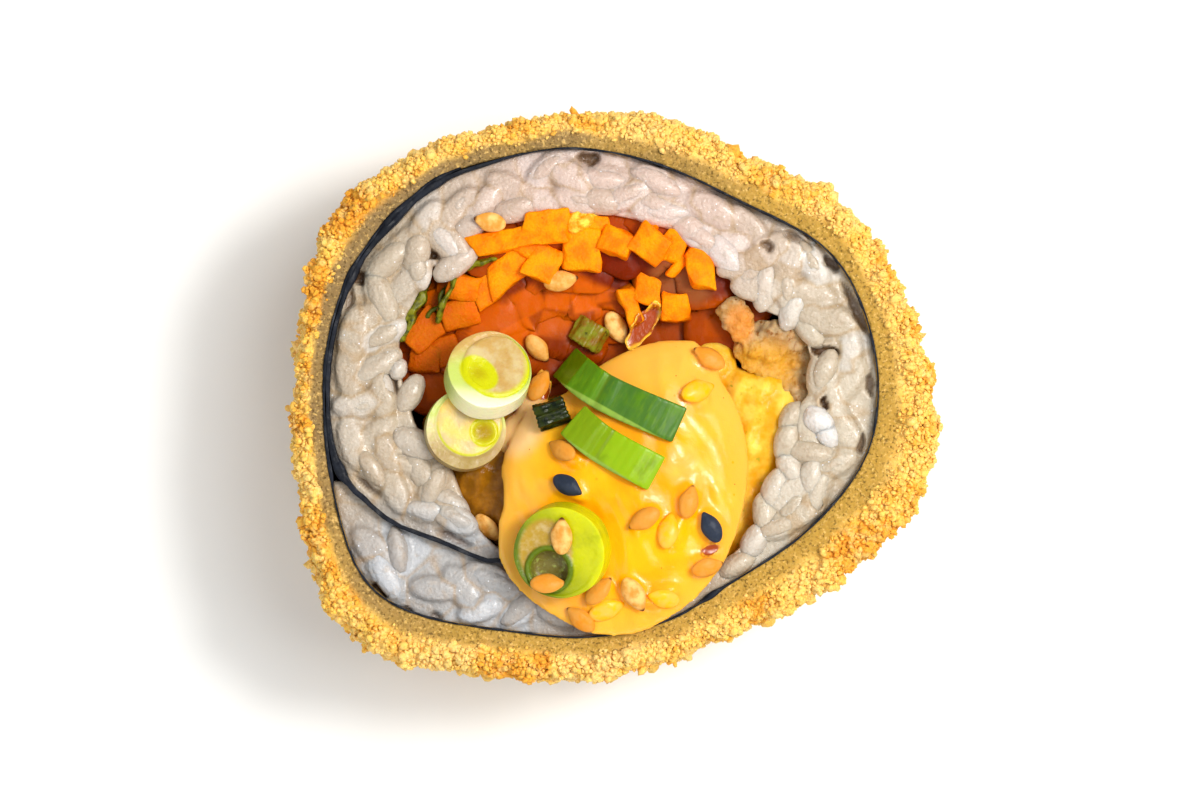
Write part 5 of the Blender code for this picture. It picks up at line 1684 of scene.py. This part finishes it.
class MakiSizes(bpy.types.PropertyGroup):
    """The sizes of the details, and of the stage."""

    crumb_radius: length_property("Crumb radius", "Typical radius of a loose crumb", 0.0004, 0.0002, 0.002)
    crumb_count: bpy.props.IntProperty(
        name="Crumbs", description="How many coarse crumbs stick to the coat", default=2450, min=0, max=2480
    )
    grit_count: bpy.props.IntProperty(
        name="Fine crumbs", description="How many crumbs of each finer kind stick to the coat", default=9800,
        min=0, max=9900,
    )
    grain_length: length_property("Grain length", "Length of a cooked grain of rice", 0.0052, 0.003, 0.008)
    grain_width: length_property("Grain width", "Width of a cooked grain of rice", 0.0026, 0.0015, 0.004)
    grain_spacing: length_property("Grain spacing", "Closest distance between grains", 0.0021, 0.0015, 0.004)
    rice_detail: length_property("Rice detail", "Mesh size of the rice's cut faces", 0.00019, 0.00017, 0.0006)
    seed_length: length_property("Seed length", "Length of a sesame seed", 0.0031, 0.002, 0.004)
    floor_size: length_property("Floor size", "Width of the floor", 3.0, 0.5, 10.0)
    camera_height: length_property("Camera height", "Height of the camera over the cut face", 0.45, 0.1, 2.0)
    view_width: length_property("View width", "Width of the view at the cut face", 0.10435, 0.05, 0.5)


class MakiStep:
    """What the operators share: the settings, and the pieces made so far."""

    bl_options = {"REGISTER", "UNDO"}
    made = {}

    def settings(self, context):
        return context.scene.maki_sizes, context.scene.maki_colours


class MAKI_OT_coat(MakiStep, bpy.types.Operator):
    """Makes the crumb coat and its loose crumbs"""

    bl_idname = "maki.coat"
    bl_label = "Coat"

    def execute(self, context):
        make_coat(*self.settings(context))
        return {"FINISHED"}


class MAKI_OT_nori(MakiStep, bpy.types.Operator):
    """Makes the nori"""

    bl_idname = "maki.nori"
    bl_label = "Nori"

    def execute(self, context):
        self.made["nori"] = [make_nori(self.settings(context)[1])]
        return {"FINISHED"}


class MAKI_OT_rice(MakiStep, bpy.types.Operator):
    """Makes the rice"""

    bl_idname = "maki.rice"
    bl_label = "Rice"

    def execute(self, context):
        self.made["rice"] = make_rice(*self.settings(context), self.made["nori"][0])
        return {"FINISHED"}


class MAKI_OT_fillings(MakiStep, bpy.types.Operator):
    """Makes the carrot, the leaf shreds, the avocado and the flaked filling"""

    bl_idname = "maki.fillings"
    bl_label = "Fillings"

    def execute(self, context):
        colours = self.settings(context)[1]
        fillings = [*make_carrot(colours), *make_leaves(colours)]
        self.made["fillings"] = [*fillings, make_avocado(colours), make_flakes(colours)]
        return {"FINISHED"}


class MAKI_OT_sauce(MakiStep, bpy.types.Operator):
    """Makes the pool of sauce"""

    bl_idname = "maki.sauce"
    bl_label = "Sauce"

    def execute(self, context):
        self.made["sauce"] = [make_sauce(self.settings(context)[1])]
        return {"FINISHED"}


class MAKI_OT_onion(MakiStep, bpy.types.Operator):
    """Makes the spring onion stems, strips and folds"""

    bl_idname = "maki.onion"
    bl_label = "Spring onion"

    def execute(self, context):
        colours = self.settings(context)[1]
        self.made["onion"] = [*make_stems(colours), *make_strips(colours), *make_curls(colours)]
        return {"FINISHED"}


class MAKI_OT_glaze(MakiStep, bpy.types.Operator):
    """Makes the films of dried glaze"""

    bl_idname = "maki.glaze"
    bl_label = "Glaze"

    def execute(self, context):
        below = self.made["fillings"] + self.made["sauce"]
        make_glaze(self.settings(context)[1], below)
        return {"FINISHED"}


class MAKI_OT_seeds(MakiStep, bpy.types.Operator):
    """Lays the sesame seeds on what is below them"""

    bl_idname = "maki.seeds"
    bl_label = "Sesame seeds"

    def execute(self, context):
        below = [part for parts in self.made.values() for part in parts]
        make_seeds(*self.settings(context), below)
        return {"FINISHED"}


class MAKI_OT_stage(MakiStep, bpy.types.Operator):
    """Sets up the floor, the lights and the camera"""

    bl_idname = "maki.stage"
    bl_label = "Stage"

    def execute(self, context):
        make_stage(*self.settings(context))
        return {"FINISHED"}


STEPS = (
    MAKI_OT_coat, MAKI_OT_nori, MAKI_OT_rice, MAKI_OT_fillings, MAKI_OT_sauce, MAKI_OT_onion,
    MAKI_OT_glaze, MAKI_OT_seeds, MAKI_OT_stage,
)


class MAKI_PT_panel(bpy.types.Panel):
    """Lists the steps that dress the roll, with its sizes and colours"""

    bl_idname = "MAKI_PT_panel"
    bl_label = "Maki roll"
    bl_space_type = "VIEW_3D"
    bl_region_type = "UI"
    bl_category = "Maki roll"

    def draw(self, context):
        for step in STEPS:
            self.layout.operator(step.bl_idname)
        for settings in (context.scene.maki_sizes, context.scene.maki_colours):
            box = self.layout.box()
            for key in settings.__annotations__:
                box.prop(settings, key)


CLASSES = (MakiColours, MakiSizes, *STEPS, MAKI_PT_panel)


def register():
    for each in CLASSES:
        bpy.utils.register_class(each)
    bpy.types.Scene.maki_sizes = bpy.props.PointerProperty(type=MakiSizes)
    bpy.types.Scene.maki_colours = bpy.props.PointerProperty(type=MakiColours)


def unregister():
    del bpy.types.Scene.maki_sizes
    del bpy.types.Scene.maki_colours
    for each in reversed(CLASSES):
        bpy.utils.unregister_class(each)


def main():
    """Registers the add-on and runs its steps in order."""
    register()
    make_groups()
    for step in STEPS:
        getattr(bpy.ops.maki, step.bl_idname.split(".")[1])()


if __name__ == "__main__":
    main()
